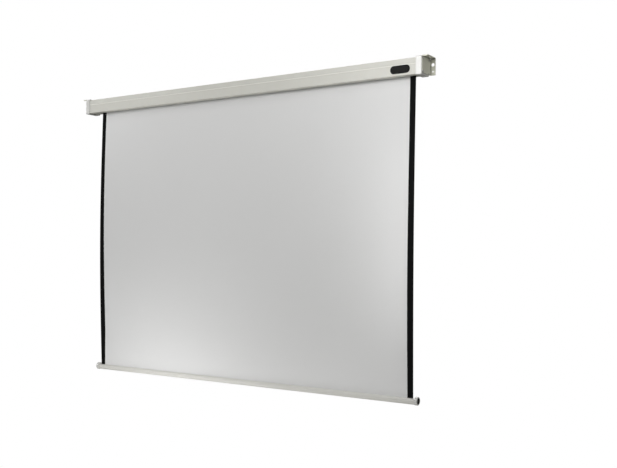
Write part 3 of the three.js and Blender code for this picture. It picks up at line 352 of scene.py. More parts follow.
class GroupMaker:
    """Builds one shader node group with named inputs and outputs."""

    def __init__(self, name: str) -> None:
        """Starts an empty group.

        Args:
            name: The group's name.
        """
        self.tree = bpy.data.node_groups.new(name, "ShaderNodeTree")
        self.start = self.tree.nodes.new("NodeGroupInput")
        self.end = self.tree.nodes.new("NodeGroupOutput")

    def sockets(self, way: str, **kinds: str) -> None:
        """Adds sockets to the group.

        Args:
            way: INPUT or OUTPUT.
            **kinds: Float or Color for each socket's name.
        """
        for name, kind in kinds.items():
            self.tree.interface.new_socket(name=name, in_out=way, socket_type=f"NodeSocket{kind}")

    def node(self, kind: str, values: InputValues | None = None, **settings: object) -> bpy.types.Node:
        """Adds a node, as add_node does."""
        return add_node(self.tree, kind, values, **settings)

    def link(self, source: bpy.types.NodeSocket, target: bpy.types.NodeSocket) -> None:
        """Joins two sockets."""
        self.tree.links.new(source, target)

    def vary_roughness(self, pattern: bpy.types.NodeSocket, spread: float) -> None:
        """Varies the group's roughness by a pattern and leads it out.

        Args:
            pattern: A pattern from 0 to 1.
            spread: How far the roughness varies.
        """
        centred = self.node("Math", {1: 0.5}, operation="SUBTRACT")
        varied = self.node("Math", {1: spread}, operation="MULTIPLY_ADD")
        self.link(pattern, centred.inputs[0])
        self.link(centred.outputs[0], varied.inputs[0])
        self.link(self.start.outputs["Roughness"], varied.inputs[2])
        self.link(varied.outputs[0], self.end.inputs["Roughness"])

    def blend_colour(self, share: bpy.types.NodeSocket, second: str) -> None:
        """Blends the group's colour with a second one and leads it out.

        Args:
            share: Where the second colour shows, before the group's amount.
            second: The input of the second colour.
        """
        amount = self.node("Math", operation="MULTIPLY")
        mixed = self.node("Mix", data_type="RGBA")
        self.link(share, amount.inputs[0])
        self.link(self.start.outputs["Amount"], amount.inputs[1])
        self.link(amount.outputs[0], mixed.inputs["Factor"])
        self.link(self.start.outputs["Colour"], mixed.inputs["A"])
        self.link(self.start.outputs[second], mixed.inputs["B"])
        self.link(mixed.outputs["Result"], self.end.inputs["Colour"])


def mottle_group() -> bpy.types.NodeTree:
    """Builds the group that varies a colour slowly over a surface.

    Returns:
        A group from a colour to the varied colour.
    """
    g = GroupMaker("mottle")
    g.sockets("INPUT", Colour="Color", Scale="Float", Amount="Float")
    g.sockets("OUTPUT", Colour="Color")
    where = g.node("TexCoord")
    noise = g.node("TexNoise", {"Detail": 5.0, "Roughness": 0.55})
    spread = g.node("MapRange", {"From Min": 0.3, "From Max": 0.7})
    lower = g.node("Math", {0: 1.0}, operation="SUBTRACT")
    scaled = g.node("VectorMath", operation="SCALE")
    mixed = g.node("Mix", data_type="RGBA")
    g.link(where.outputs["Object"], noise.inputs["Vector"])
    g.link(g.start.outputs["Scale"], noise.inputs["Scale"])
    g.link(noise.outputs["Fac"], spread.inputs["Value"])
    g.link(g.start.outputs["Amount"], lower.inputs[1])
    g.link(g.start.outputs["Colour"], scaled.inputs[0])
    g.link(lower.outputs[0], scaled.inputs["Scale"])
    g.link(spread.outputs["Result"], mixed.inputs["Factor"])
    g.link(scaled.outputs["Vector"], mixed.inputs["A"])
    g.link(g.start.outputs["Colour"], mixed.inputs["B"])
    g.link(mixed.outputs["Result"], g.end.inputs["Colour"])
    return g.tree


def grain_group() -> bpy.types.NodeTree:
    """Builds the fine grain of powder coat and of moulded plastic.

    Returns:
        A group to a height and a roughness.
    """
    g = GroupMaker("grain")
    g.sockets("INPUT", Scale="Float", Roughness="Float")
    g.sockets("OUTPUT", Height="Float", Roughness="Float")
    where = g.node("TexCoord")
    fine = g.node("TexNoise", {"Detail": 3.0})
    coarse = g.node("TexNoise", {"Scale": 22.0, "Detail": 4.0})
    g.link(where.outputs["Object"], fine.inputs["Vector"])
    g.link(where.outputs["Object"], coarse.inputs["Vector"])
    g.link(g.start.outputs["Scale"], fine.inputs["Scale"])
    g.link(fine.outputs["Fac"], g.end.inputs["Height"])
    g.vary_roughness(coarse.outputs["Fac"], spread=0.06)
    return g.tree


def drawn_group() -> bpy.types.NodeTree:
    """Builds the fine lines that run along a drawn or extruded piece.

    Returns:
        A group to a height and a roughness.
    """
    g = GroupMaker("drawn_lines")
    g.sockets("INPUT", Scale="Float", Roughness="Float")
    g.sockets("OUTPUT", Height="Float", Roughness="Float")
    where = g.node("TexCoord")
    mapping = g.node("Mapping", {"Scale": (0.004, 1.0, 1.0)})
    noise = g.node("TexNoise", {"Detail": 3.0})
    g.link(where.outputs["Object"], mapping.inputs["Vector"])
    g.link(mapping.outputs["Vector"], noise.inputs["Vector"])
    g.link(g.start.outputs["Scale"], noise.inputs["Scale"])
    g.link(noise.outputs["Fac"], g.end.inputs["Height"])
    g.vary_roughness(noise.outputs["Fac"], spread=0.15)
    return g.tree


def cloth_group() -> bpy.types.NodeTree:
    """Builds the coated weave of screen cloth.

    Returns:
        A group to a height.
    """
    g = GroupMaker("coated_weave")
    g.sockets("INPUT", Threads="Float")
    g.sockets("OUTPUT", Height="Float")
    where = g.node("TexCoord")
    crossing = g.node("Math", operation="MULTIPLY")
    for number, axis in enumerate(("X", "Z")):
        wave = g.node("TexWave", {"Distortion": 0.6, "Detail": 1.0},
                      wave_type="BANDS", bands_direction=axis, wave_profile="SIN")
        g.link(where.outputs["Object"], wave.inputs["Vector"])
        g.link(g.start.outputs["Threads"], wave.inputs["Scale"])
        g.link(wave.outputs["Fac"], crossing.inputs[number])
    slub = g.node("TexNoise", {"Scale": 260.0, "Detail": 2.0})
    summed = g.node("Math", operation="ADD")
    g.link(where.outputs["Object"], slub.inputs["Vector"])
    g.link(crossing.outputs[0], summed.inputs[0])
    g.link(slub.outputs["Fac"], summed.inputs[1])
    g.link(summed.outputs[0], g.end.inputs["Height"])
    return g.tree


def wear_group() -> bpy.types.NodeTree:
    """Builds the handled edges, where a second colour shows.

    Returns:
        A group from a colour to the worn colour.
    """
    g = GroupMaker("edge_wear")
    g.sockets("INPUT", Colour="Color", Worn="Color", Amount="Float")
    g.sockets("OUTPUT", Colour="Color")
    shape = g.node("NewGeometry")
    where = g.node("TexCoord")
    noise = g.node("TexNoise", {"Scale": 35.0})
    edge = g.node("MapRange", {"From Min": 0.52, "From Max": 0.62})
    broken = g.node("Math", operation="MULTIPLY")
    g.link(shape.outputs["Pointiness"], edge.inputs["Value"])
    g.link(where.outputs["Object"], noise.inputs["Vector"])
    g.link(edge.outputs["Result"], broken.inputs[0])
    g.link(noise.outputs["Fac"], broken.inputs[1])
    g.blend_colour(broken.outputs[0], "Worn")
    return g.tree


def dust_group() -> bpy.types.NodeTree:
    """Builds the painted shade that darkens folds and inner corners, from ambient occlusion.

    Returns:
        A group from a colour to the colour with painted corner shade.
    """
    g = GroupMaker("settled_dust")
    g.sockets("INPUT", Colour="Color", Dust="Color", Amount="Float")
    g.sockets("OUTPUT", Colour="Color")
    open_sky = g.node("AmbientOcclusion", {"Distance": 12 * MM}, samples=8)
    corner = g.node("MapRange", {"From Min": 0.85, "From Max": 0.5})
    g.link(open_sky.outputs["AO"], corner.inputs["Value"])
    g.blend_colour(corner.outputs["Result"], "Dust")
    return g.tree


@dataclass(frozen=True)
class SharedGroups:
    """The node groups, each built once."""

    mottle: bpy.types.NodeTree = field(default_factory=mottle_group)
    grain: bpy.types.NodeTree = field(default_factory=grain_group)
    drawn: bpy.types.NodeTree = field(default_factory=drawn_group)
    cloth: bpy.types.NodeTree = field(default_factory=cloth_group)
    wear: bpy.types.NodeTree = field(default_factory=wear_group)
    dust: bpy.types.NodeTree = field(default_factory=dust_group)


@dataclass(frozen=True)
class Finish:
    """One finish: its colour, gloss and how its surface is broken up."""

    name: str
    slot: str
    colour: Colour
    roughness: float
    surface: Surface
    metallic: float = 0.0
    mottle: float = 0.03
    mottle_scale: float = 7.0
    grain_scale: float = 900.0
    bump: float = 0.12
    bump_reach: float = 0.05 * MM
    coat: float = 0.0
    sheen: float = 0.0
    specular: float = 0.5
    wear: float = 0.0
    worn: Colour = (0.8, 0.8, 0.78)
    # Painted shade in folds and inner corners: how much of it, and its colour
    dust: float = 0.0
    dust_colour: Colour = (0.1, 0.1, 0.085)

    def build(self, groups: SharedGroups) -> bpy.types.Material:
        """Makes the material with its nodes.

        Args:
            groups: The shared node groups.

        Returns:
            The new material.
        """
        material = bpy.data.materials.new(self.name)
        material.use_nodes = True
        tree = material.node_tree
        shader = tree.nodes["Principled BSDF"]
        shader.inputs["Metallic"].default_value = self.metallic
        shader.inputs["Coat Weight"].default_value = self.coat
        shader.inputs["Sheen Weight"].default_value = self.sheen
        shader.inputs["Specular IOR Level"].default_value = self.specular
        tree.links.new(self._colour(tree, groups), shader.inputs["Base Color"])
        if self.surface is Surface.CLOTH:
            relief = add_node(tree, "Group", {"Threads": self.grain_scale}, node_tree=groups.cloth)
            shader.inputs["Roughness"].default_value = self.roughness
        else:
            relief = add_node(tree, "Group", {"Scale": self.grain_scale, "Roughness": self.roughness},
                              node_tree=groups.drawn if self.surface is Surface.DRAWN else groups.grain)
            tree.links.new(relief.outputs["Roughness"], shader.inputs["Roughness"])
        bump = add_node(tree, "Bump", {"Strength": self.bump, "Distance": self.bump_reach})
        tree.links.new(relief.outputs["Height"], bump.inputs["Height"])
        tree.links.new(bump.outputs["Normal"], shader.inputs["Normal"])
        return material

    def _colour(self, tree: bpy.types.NodeTree, groups: SharedGroups) -> bpy.types.NodeSocket:
        """Leads the colour through its mottle, its wear and its painted corner shade.

        Args:
            tree: The material's tree.
            groups: The shared node groups.

        Returns:
            The socket that gives the colour.
        """
        values = {"Colour": (*self.colour, 1.0), "Scale": self.mottle_scale, "Amount": self.mottle}
        colour = add_node(tree, "Group", values, node_tree=groups.mottle).outputs["Colour"]
        layers = (
            (groups.wear, "Worn", self.worn, self.wear),
            (groups.dust, "Dust", self.dust_colour, self.dust),
        )
        for group, socket, second, amount in layers:
            if amount > 0:
                layer = add_node(tree, "Group", {socket: (*second, 1.0), "Amount": amount}, node_tree=group)
                tree.links.new(colour, layer.inputs["Colour"])
                colour = layer.outputs["Colour"]
        return colour


FINISHES = (
    Finish("case_powder_coat", "case_paint", (0.674, 0.669, 0.612), 0.42, Surface.GRAIN, wear=0.35),
    Finish("cap_moulding", "cap_plastic", (0.72, 0.716, 0.695), 0.2, Surface.GRAIN, bump=0.06, coat=0.35,
           wear=0.2),
    # The bracket's paint darkens in its folds and inner corners as painted shade
    Finish("bracket_paint", "bracket_steel", (0.75, 0.75, 0.635), 0.45, Surface.GRAIN, wear=0.3,
           worn=(0.45, 0.45, 0.44), dust=0.8),
    Finish("badge_gloss", "badge_black", (0.006, 0.006, 0.006), 0.22, Surface.GRAIN, bump=0.03,
           specular=0.04),
    Finish("black_nylon", "black_plastic", (0.055, 0.055, 0.05), 0.5, Surface.GRAIN, bump=0.3),
    Finish("grey_nylon", "grey_plastic", (0.26, 0.27, 0.28), 0.5, Surface.GRAIN, bump=0.3),
    Finish("adjuster_nylon", "adjuster_plastic", (0.69, 0.66, 0.53), 0.45, Surface.GRAIN, bump=0.2),
    Finish("bright_zinc", "zinc_screw", (0.62, 0.63, 0.65), 0.28, Surface.GRAIN, metallic=1.0, bump=0.05),
    Finish("bare_steel", "plain_steel", (0.36, 0.37, 0.38), 0.36, Surface.DRAWN, metallic=1.0),
    Finish("mill_aluminium", "raw_aluminium", (0.62, 0.63, 0.64), 0.4, Surface.DRAWN, metallic=1.0),
    Finish("sintered_bronze", "bronze", (0.48, 0.3, 0.13), 0.45, Surface.GRAIN, metallic=0.9),
    Finish("screen_cloth", "screen_white", (0.8, 0.8, 0.8), 0.85, Surface.CLOTH, mottle=0.015,
           mottle_scale=1.5, bump=0.1, sheen=0.1),
    Finish("border_print", "border_black", (0.0045, 0.0045, 0.0047), 0.75, Surface.CLOTH, mottle=0.1,
           bump=0.15, specular=0.08),
    Finish("bar_paint", "bar_paint", (0.715, 0.705, 0.665), 0.4, Surface.GRAIN, wear=0.25),
    # Painted highlight along the bevel of the cover's upper edge
    Finish("rubbed_edge", "cover_edge", (0.93, 0.925, 0.87), 0.3, Surface.GRAIN, bump=0.05),
    # Painted shade in the groove where a cap meets the case
    Finish("joint_dust", "cap_joint", (0.12, 0.115, 0.1), 0.6, Surface.GRAIN, mottle=0.2, mottle_scale=40.0),
)


class Wardrobe:
    """Holds the built materials and dresses pieces in them."""

    def __init__(self) -> None:
        """Builds every finish once."""
        groups = SharedGroups()
        self.materials = {finish.slot: finish.build(groups) for finish in FINISHES}
        self.slots = {row["node"]: row["material_slot"] for row in frame["record"]["subparts"]}

    def dress(self, piece: bpy.types.Object, slot: str) -> None:
        """Gives a new piece the material of its slot.

        Args:
            piece: The new piece.
            slot: The record's material slot.
        """
        piece.data.materials.clear()
        piece.data.materials.append(self.materials[slot])

    def dress_part(self, piece: bpy.types.Object, finish: str, test: ElementTest) -> None:
        """Gives some faces of a dressed piece a second finish.

        Args:
            piece: The piece, which has its first material.
            finish: The key of the second finish.
            test: Says which faces take it.
        """
        piece.data.materials.append(self.materials[finish])
        with edit_mode(piece):
            select(piece, "FACE", test)
            piece.active_material_index = len(piece.data.materials) - 1
            bpy.ops.object.material_slot_assign()

    def dress_nodes(self) -> None:
        """Gives each frame node the finish of its slot."""
        for name, node in frame["nodes"].items():
            material = self.materials[self.slots[name]]
            if not node.material_slots:
                node.data.materials.append(material)
            for place in node.material_slots:
                place.material = material

    def stand_in(self, piece: bpy.types.Object, body: str, *nodes: str) -> None:
        """Lets a piece take the place of frame nodes, dressed as the first of them.

        Args:
            piece: The new piece.
            body: The body that it rides on.
            *nodes: The nodes that it replaces.
        """
        self.dress(piece, self.slots[nodes[0]])
        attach(piece, body)
        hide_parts(*nodes)
        LOG.info("%s replaces %s", piece.name, ", ".join(nodes))


# Sub-assemblies


@dataclass
class ScreenCloth:
    """The hanging fabric with its printed borders."""

    wardrobe: Wardrobe
    left_curl: float = 18 * MM
    right_curl: float = 10 * MM
    left_fold: float = 16 * MM
    left_fold_share: float = 0.86
    right_fold: float = 13.5 * MM
    right_sag: float = 2.5 * MM
    curl_reach: float = 200 * MM
    ripple: float = 0.5 * MM
    ripple_across: float = 7.0
    ripple_down: float = 2.0
    columns: int = 150
    rows: int = 110
    border_columns: int = 8
    lead_columns: int = 8
    short_rows: int = 4
    thickness: float = 0.4 * MM
    slot_level: float = -39.5 * MM
    seam_height: float = 0.5 * MM

    def __post_init__(self) -> None:
        """Reads the fabric's place from the frame."""
        self.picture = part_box("picture_fabric")
        self.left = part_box("left_border")[0].x
        self.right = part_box("right_border")[1].x
        self.plane = self.picture[1].y - self.thickness / 2
        self.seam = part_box("bar_profile")[1].z + self.seam_height
        self.print_width = self.picture[0].x - self.left

    def build(self) -> None:
        """Makes the picture area, both borders, and their stretches inside the case and the bar."""
        low, high = self.picture
        strips = (
            ("picture", "picture_fabric", "screen_white", low.x, high.x, self.columns),
            ("left_border", "left_border", "border_black", self.left, low.x, self.border_columns),
            ("right_border", "right_border", "border_black", high.x, self.right, self.border_columns),
        )
        for name, node, slot, start, end, columns in strips:
            hem = self._strip(f"{name}_hem", start, end, self.seam, low.z, columns, self.short_rows)
            self.wardrobe.dress(hem, slot)
            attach(hem, "bottom_bar")
            piece = self._strip(f"{name}_cloth", start, end, self.slot_level, self.seam, columns, self.rows)
            self.wardrobe.stand_in(piece, "case", node)
            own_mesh(piece)
            lead = self._strip(f"{name}_lead", start, end, high.z, self.slot_level, self.lead_columns,
                               self.short_rows)
            self.wardrobe.dress(lead, slot)
            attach(lead, "case")

    def _strip(self, name: str, start: float, end: float, top: float, bottom: float,
               columns: int, rows: int) -> bpy.types.Object:
        """Makes one strip of the cloth on the common curved surface.

        Args:
            name: The piece's name.
            start: Its left edge.
            end: Its right edge.
            top: Its upper edge.
            bottom: Its lower edge.
            columns: Faces across.
            rows: Faces down.

        Returns:
            The closed strip.
        """
        deselect_all()
        bpy.ops.mesh.primitive_grid_add(x_subdivisions=columns, y_subdivisions=rows, size=1.0,
                                        rotation=(math.pi / 2, 0.0, 0.0))
        piece = named_mesh(name)
        for vertex in piece.data.vertices:
            x = start + (vertex.co.x + 0.5) * (end - start)
            z = bottom + (vertex.co.z + 0.5) * (top - bottom)
            vertex.co = (x, self.plane - self._forward(x, z), z)
        wall = piece.modifiers.new("cloth_thickness", "SOLIDIFY")
        wall.thickness = self.thickness
        wall.offset = 0.0
        apply_modifiers(piece)
        smooth(piece)
        return piece

    def _forward(self, x: float, z: float) -> float:
        """Works out how far the cloth stands before its plane at a place.

        Args:
            x: Place across.
            z: Level.

        Returns:
            The distance forwards.
        """
        drop = min(1.0, max(0.0, (self.slot_level - z) / (self.slot_level - self.seam)))
        bow = math.sin(math.pi * drop)
        left_fold = self.left_fold * math.sin(math.pi * min(1.0, drop / self.left_fold_share))
        right_fold = self.right_fold * bow - self.right_sag * math.sin(2 * math.pi * drop)
        from_left, from_right = x - self.left, self.right - x
        calm = min(1.0, from_left / self.curl_reach) * min(1.0, from_right / self.curl_reach)
        wave = self.ripple * math.sin(x * self.ripple_across + z * self.ripple_down) * bow * calm
        return (self._curl(from_left, self.left_curl * bow, left_fold)
                + self._curl(from_right, self.right_curl * bow, right_fold) + wave)

    def _curl(self, inward: float, edge: float, fold: float) -> float:
        """Works out how far a free edge's curl stands forwards at a place.

        Args:
            inward: Distance from the free edge.
            edge: How far the free edge stands forwards.
            fold: How far the border's inner side does.

        Returns:
            The distance forwards.
        """
        if inward < self.print_width:
            return edge + (fold - edge) * math.sin(math.pi / 2 * inward / self.print_width)
        faded = min(1.0, (inward - self.print_width) / (self.curl_reach - self.print_width))
        return fold * math.cos(math.pi / 2 * faded) ** 2


@dataclass
class CaseAndCaps:
    """The case's profiles, the end caps, the brackets and the badge plate."""

    wardrobe: Wardrobe
    profile_rounding: float = 0.35 * MM
    cap_rounding: float = 0.4 * MM
    sheet_rounding: float = 0.3 * MM
    bevel_reach: float = 4.0 * MM
    bevel_rise: tuple[float, float] = (0.15, 0.8)
    bevel_lean: float = 0.3
    joint_reach: float = 4.5 * MM
    joint_facing: float = 0.95
    badge_rim: float = 2.2 * MM
    badge_recess: float = 0.5 * MM
    badge_edge: float = 0.6 * MM
    badge_inner_edge: float = 0.2 * MM
    badge_flat: float = 0.6 * MM
    badge_arc_steps: int = 24
    badge_edge_steps: int = 3
    badge_inner_steps: int = 2

    def build(self) -> None:
        """Makes and dresses each shown piece."""
        for node in ("rear_profile", "front_cover"):
            piece = refined_copy(node, f"{node}_shell", self.profile_rounding)
            self.wardrobe.stand_in(piece, "case", node)
            if node == "front_cover":
                self._rub_cover_edge(piece)
        for side in Side:
            node = f"{side.word}_end_cap"
            cap = refined_copy(node, f"{side.word}_cap_moulding", self.cap_rounding)
            self.wardrobe.stand_in(cap, "case", node)
            self._dust_cap_joint(cap, side)
            node = f"{side.word}_bracket"
            bracket = refined_copy(node, f"{node}_sheet", self.sheet_rounding)
            self.wardrobe.stand_in(bracket, "case", node)
        self.wardrobe.stand_in(self._badge(), "case", "badge_plate")

    def _rub_cover_edge(self, cover: bpy.types.Object) -> None:
        """Paints a highlight on the bevel along the cover's upper edge with a paler finish.

        Args:
            cover: The dressed cover.
        """
        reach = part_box("front_cover")[0].y + self.bevel_reach
        flattest, steepest = self.bevel_rise
        self.wardrobe.dress_part(
            cover, "cover_edge",
            lambda face: (face.calc_center_median().y < reach
                          and flattest < face.normal.z < steepest
                          and face.normal.y < -self.bevel_lean))

    def _dust_cap_joint(self, cap: bpy.types.Object, side: Side) -> None:
        """Paints shade into the groove at a cap's mouth with a dark second finish.

        Args:
            cap: The dressed cap.
            side: The cap's side.
        """
        low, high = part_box(f"{side.word}_end_cap")
        mouth = high.x if side is Side.LEFT else low.x
        self.wardrobe.dress_part(
            cap, "cap_joint",
            lambda face: (abs(face.calc_center_median().x - mouth) < self.joint_reach
                          and face.normal.x * side.value < -self.joint_facing))

    def _badge(self) -> bpy.types.Object:
        """Makes the blank badge: an oval plate with a raised rim round its field.

        Returns:
            The plate.
        """
        low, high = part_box("badge_plate")
        piece = block("badge_blank", low, high)
        front = Vector((0.0, -1.0, 0.0))
        with edit_mode(piece):
            select(piece, "EDGE",
                   lambda edge: abs((edge.verts[0].co - edge.verts[1].co).normalized().y) > NEARLY_FACING)
            bpy.ops.mesh.bevel(offset=(high.z - low.z) / 2 - self.badge_flat, segments=self.badge_arc_steps)
            select(piece, "FACE", lambda face: face.normal.dot(front) > NEARLY_FACING)
            bpy.ops.mesh.bevel(offset=self.badge_edge, segments=self.badge_edge_steps)
            select(piece, "FACE", lambda face: face.normal.dot(front) > FACING)
            bpy.ops.mesh.inset(thickness=self.badge_rim)
            push(-front * self.badge_recess)
            bpy.ops.mesh.bevel(offset=self.badge_inner_edge, segments=self.badge_inner_steps)
        smooth(piece)
        return piece


@dataclass
class BottomBar:
    """The bar at the fabric's lower edge, its caps and the dark plugs in them, which paint the shade of
    their recesses.
    """

    wardrobe: Wardrobe
    rounding: float = 0.3 * MM
    cap_steps: int = 96
    seat_gap: float = 0.3 * MM
    shoulder: float = 4.0 * MM
    shoulder_steps: int = 8
    mouth_wall: float = 1.6 * MM
    recess: float = 10.0 * MM
    mouth_edge: float = 0.5 * MM
    mouth_steps: int = 2
    rim_steps: int = 3
    rim_degrees: float = 60.0
    plug_gap: float = 0.15 * MM
    plug_wall: float = 1.1 * MM
    plug_hollow: float = 7.0 * MM
    plug_hub_wall: float = 5.0 * MM
    plug_hub: float = 3.5 * MM

    def build(self) -> None:
        """Makes and dresses the bar, its caps and the dark plugs that paint the shade in them."""
        bar = refined_copy("bar_profile", "bar_shell", self.rounding)
        self.wardrobe.stand_in(bar, "bottom_bar", "bar_profile")
        for side in Side:
            self.wardrobe.stand_in(self._cap(side), "bottom_bar", f"{side.word}_bar_cap")
            # A dark plug in each cap's recess paints the shade there
            shade_plug = self._plug(side)
            self.wardrobe.dress(shade_plug, "black_plastic")
            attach(shade_plug, "bottom_bar")

    def _place(self, side: Side) -> tuple[Vector, float, float]:
        """Finds a cap's axis.

        Args:
            side: The end of the bar.

        Returns:
            The middle of its outer face, its radius and its length along the axis.
        """
        low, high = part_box(f"{side.word}_bar_cap")
        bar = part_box("bar_profile")[0 if side is Side.LEFT else 1].x
        outer = (low if side is Side.LEFT else high).x
        face = Vector((outer, (low.y + high.y) / 2, (low.z + high.z) / 2))
        return face, (high.z - low.z) / 2, abs(outer - bar) - self.seat_gap

    def _cap(self, side: Side) -> bpy.types.Object:
        """Makes one cap: a round blank with a rounded shoulder and a deep recess in its end.

        Args:
            side: The end of the bar.

        Returns:
            The cap.
        """
        face, radius, length = self._place(side)
        outward = Vector((side.value, 0.0, 0.0))
        piece = round_blank(f"{side.word}_bar_cap_moulding", face, -outward * length, radius, self.cap_steps)
        with edit_mode(piece):
            select_ends(piece, outward)
            bpy.ops.mesh.bevel(offset=self.shoulder, segments=self.shoulder_steps)
            select_ends(piece, outward)
            bpy.ops.mesh.inset(thickness=self.mouth_wall)
            push(-outward * self.recess)
            select_ends(piece, -outward)
            bpy.ops.mesh.bevel(offset=self.mouth_edge, segments=self.mouth_steps)
        bevelled(piece, self.mouth_edge, self.rim_steps, self.rim_degrees)
        smooth(piece)
        return piece

    def _plug(self, side: Side) -> bpy.types.Object:
        """Makes the dark plug that lines a cap's recess, with a hub in its middle, as painted shade in the
        recess.

        Args:
            side: The end of the bar.

        Returns:
            The plug.
        """
        face, radius, _ = self._place(side)
        outward = Vector((side.value, 0.0, 0.0))
        setback = self.mouth_edge * 2
        mouth = face - outward * setback
        reach = radius - self.shoulder - self.mouth_wall - self.plug_gap
        depth = self.recess - setback - self.plug_gap
        piece = round_blank(f"{side.word}_bar_cap_plug", mouth, -outward * depth, reach, self.cap_steps)
        with edit_mode(piece):
            select_ends(piece, outward)
            bpy.ops.mesh.inset(thickness=self.plug_wall)
            push(-outward * self.plug_hollow)
            bpy.ops.mesh.inset(thickness=self.plug_hub_wall)
            push(outward * self.plug_hub)
        bevelled(piece, self.mouth_edge / 2, degrees=self.rim_degrees)
        smooth(piece)
        return piece


@dataclass
class CaseScrews:
    """The screws that hold the brackets and the end caps to the case."""

    wardrobe: Wardrobe
    steps: int = 36
    head_radius: float = 3.7 * MM
    head_height: float = 2.4 * MM
    head_crown: float = 1.1 * MM
    crown_steps: int = 5
    shank_radius: float = 1.9 * MM
    recess_length: float = 4.2 * MM
    recess_width: float = 0.9 * MM
    recess_depth: float = 1.3 * MM

    def build(self) -> None:
        """Makes one screw and puts a copy in place of each case screw."""
        nodes = [node for node in frame["nodes"] if "_case_screw_" in node]
        low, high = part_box(nodes[0])
        pattern = self._screw(high.x - low.x)
        for node in nodes:
            low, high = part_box(node)
            side = Side.LEFT if low.x < 0 else Side.RIGHT
            outer = low.x if side is Side.LEFT else high.x
            copy = add_object(f"{node}_head", pattern.data.copy())
            turn = Matrix.Rotation(math.pi if side is Side.LEFT else 0.0, 4, "Z")
            place = Matrix.Translation((outer, (low.y + high.y) / 2, (low.z + high.z) / 2))
            copy.data.transform(place @ turn)
            self.wardrobe.stand_in(copy, "case", node)
        bpy.data.objects.remove(pattern)

    def _screw(self, length: float) -> bpy.types.Object:
        """Makes one screw along X with its head's face at the origin.

        Args:
            length: Its whole length.

        Returns:
            The screw.
        """
        outward = Vector((1.0, 0.0, 0.0))
        head = -outward * self.head_height
        piece = round_blank("screw_pattern", Vector(), head, self.head_radius, self.steps)
        with edit_mode(piece):
            select_ends(piece, outward)
            bpy.ops.mesh.bevel(offset=self.head_crown, segments=self.crown_steps)
            select_ends(piece, -outward)
            bpy.ops.mesh.inset(thickness=self.head_radius - self.shank_radius)
            push(-outward * (length - self.head_height))
            bpy.ops.mesh.bevel(offset=self.shank_radius / 2, segments=1)
        half_length, half_width = self.recess_length / 2, self.recess_width / 2
        for name, reach in (("slot_y", (half_length, half_width)), ("slot_z", (half_width, half_length))):
            low = Vector((-self.recess_depth, -reach[0], -reach[1]))
            high = Vector((self.recess_depth, reach[0], reach[1]))
            cutter = block(name, low, high)
            cut = piece.modifiers.new(name, "BOOLEAN")
            cut.operation = "DIFFERENCE"
            cut.solver = "EXACT"
            cut.object = cutter
            apply_modifiers(piece)
            bpy.data.objects.remove(cutter)
        smooth(piece)
        return piece


@dataclass(frozen=True)
class SoftBox:
    """One rectangular soft box."""

    name: str
    place: Point
    target: Point
    width: float
    height: float
    power: float

    def build(self) -> None:
        """Adds the soft box and turns it to its target."""
        data = bpy.data.lights.new(self.name, "AREA")
        data.shape = "RECTANGLE"
        data.size = self.width
        data.size_y = self.height
        data.energy = self.power
        light = add_object(self.name, data)
        light.location = self.place
        aim = Vector(self.target) - Vector(self.place)
        light.rotation_euler = aim.to_track_quat("-Z", "Y").to_euler()


SOFT_BOXES = (
    SoftBox("gloss_light", (-0.05, -2.5, 0.5), (1.0, 0.0, -0.05), 0.9, 1.0, 16.3),
    SoftBox("top_light", (0.0, -1.0, 1.2), (0.0, 0.0, 0.0), 1.2, 0.3, 2.4),
    SoftBox("left_light", (-2.2, -1.3, -0.8), (0.9, 0.0, -0.7), 0.5, 0.5, 4.6),
    SoftBox("key_light", (1.1, -0.9, 0.32), (1.0, 0.0, -0.15), 0.4, 0.4, 2.5),
    SoftBox("side_light", (1.9, -0.6, 0.1), (1.1, 0.0, 0.0), 0.4, 0.4, 1.2),
    SoftBox("front_fill", (0.9, -1.8, -1.7), (0.7, 0.0, -0.2), 1.0, 0.5, 0.4),
    SoftBox("right_fill", (0.98, -0.4, -0.75), (0.98, 0.0, -0.75), 0.06, 0.9, 0.51),
    SoftBox("low_fill", (-0.46, -0.7, -1.85), (-0.5, 0.0, -1.3), 0.5, 0.5, 2.6),
    SoftBox("left_fill", (-1.2, -0.75, 0.34), (-0.9, 0.0, -0.1), 0.4, 0.4, 1.75),
    SoftBox("bar_left_fill", (-0.7, -0.5, -1.2), (-0.6, -0.06, -1.55), 0.7, 0.1, 0.13),
    SoftBox("bar_fill", (0.0, -0.2, -1.92), (0.0, -0.06, -1.5), 2.2, 0.12, 1.5),
    SoftBox("bar_front_fill", (0.0, -0.55, -1.9), (0.0, -0.06, -1.46), 2.2, 0.12, 0.86),
    SoftBox("wall_side_light", (0.0, 2.6, 0.4), (0.0, 0.0, -0.6), 2.4, 1.2, 45.0),
)


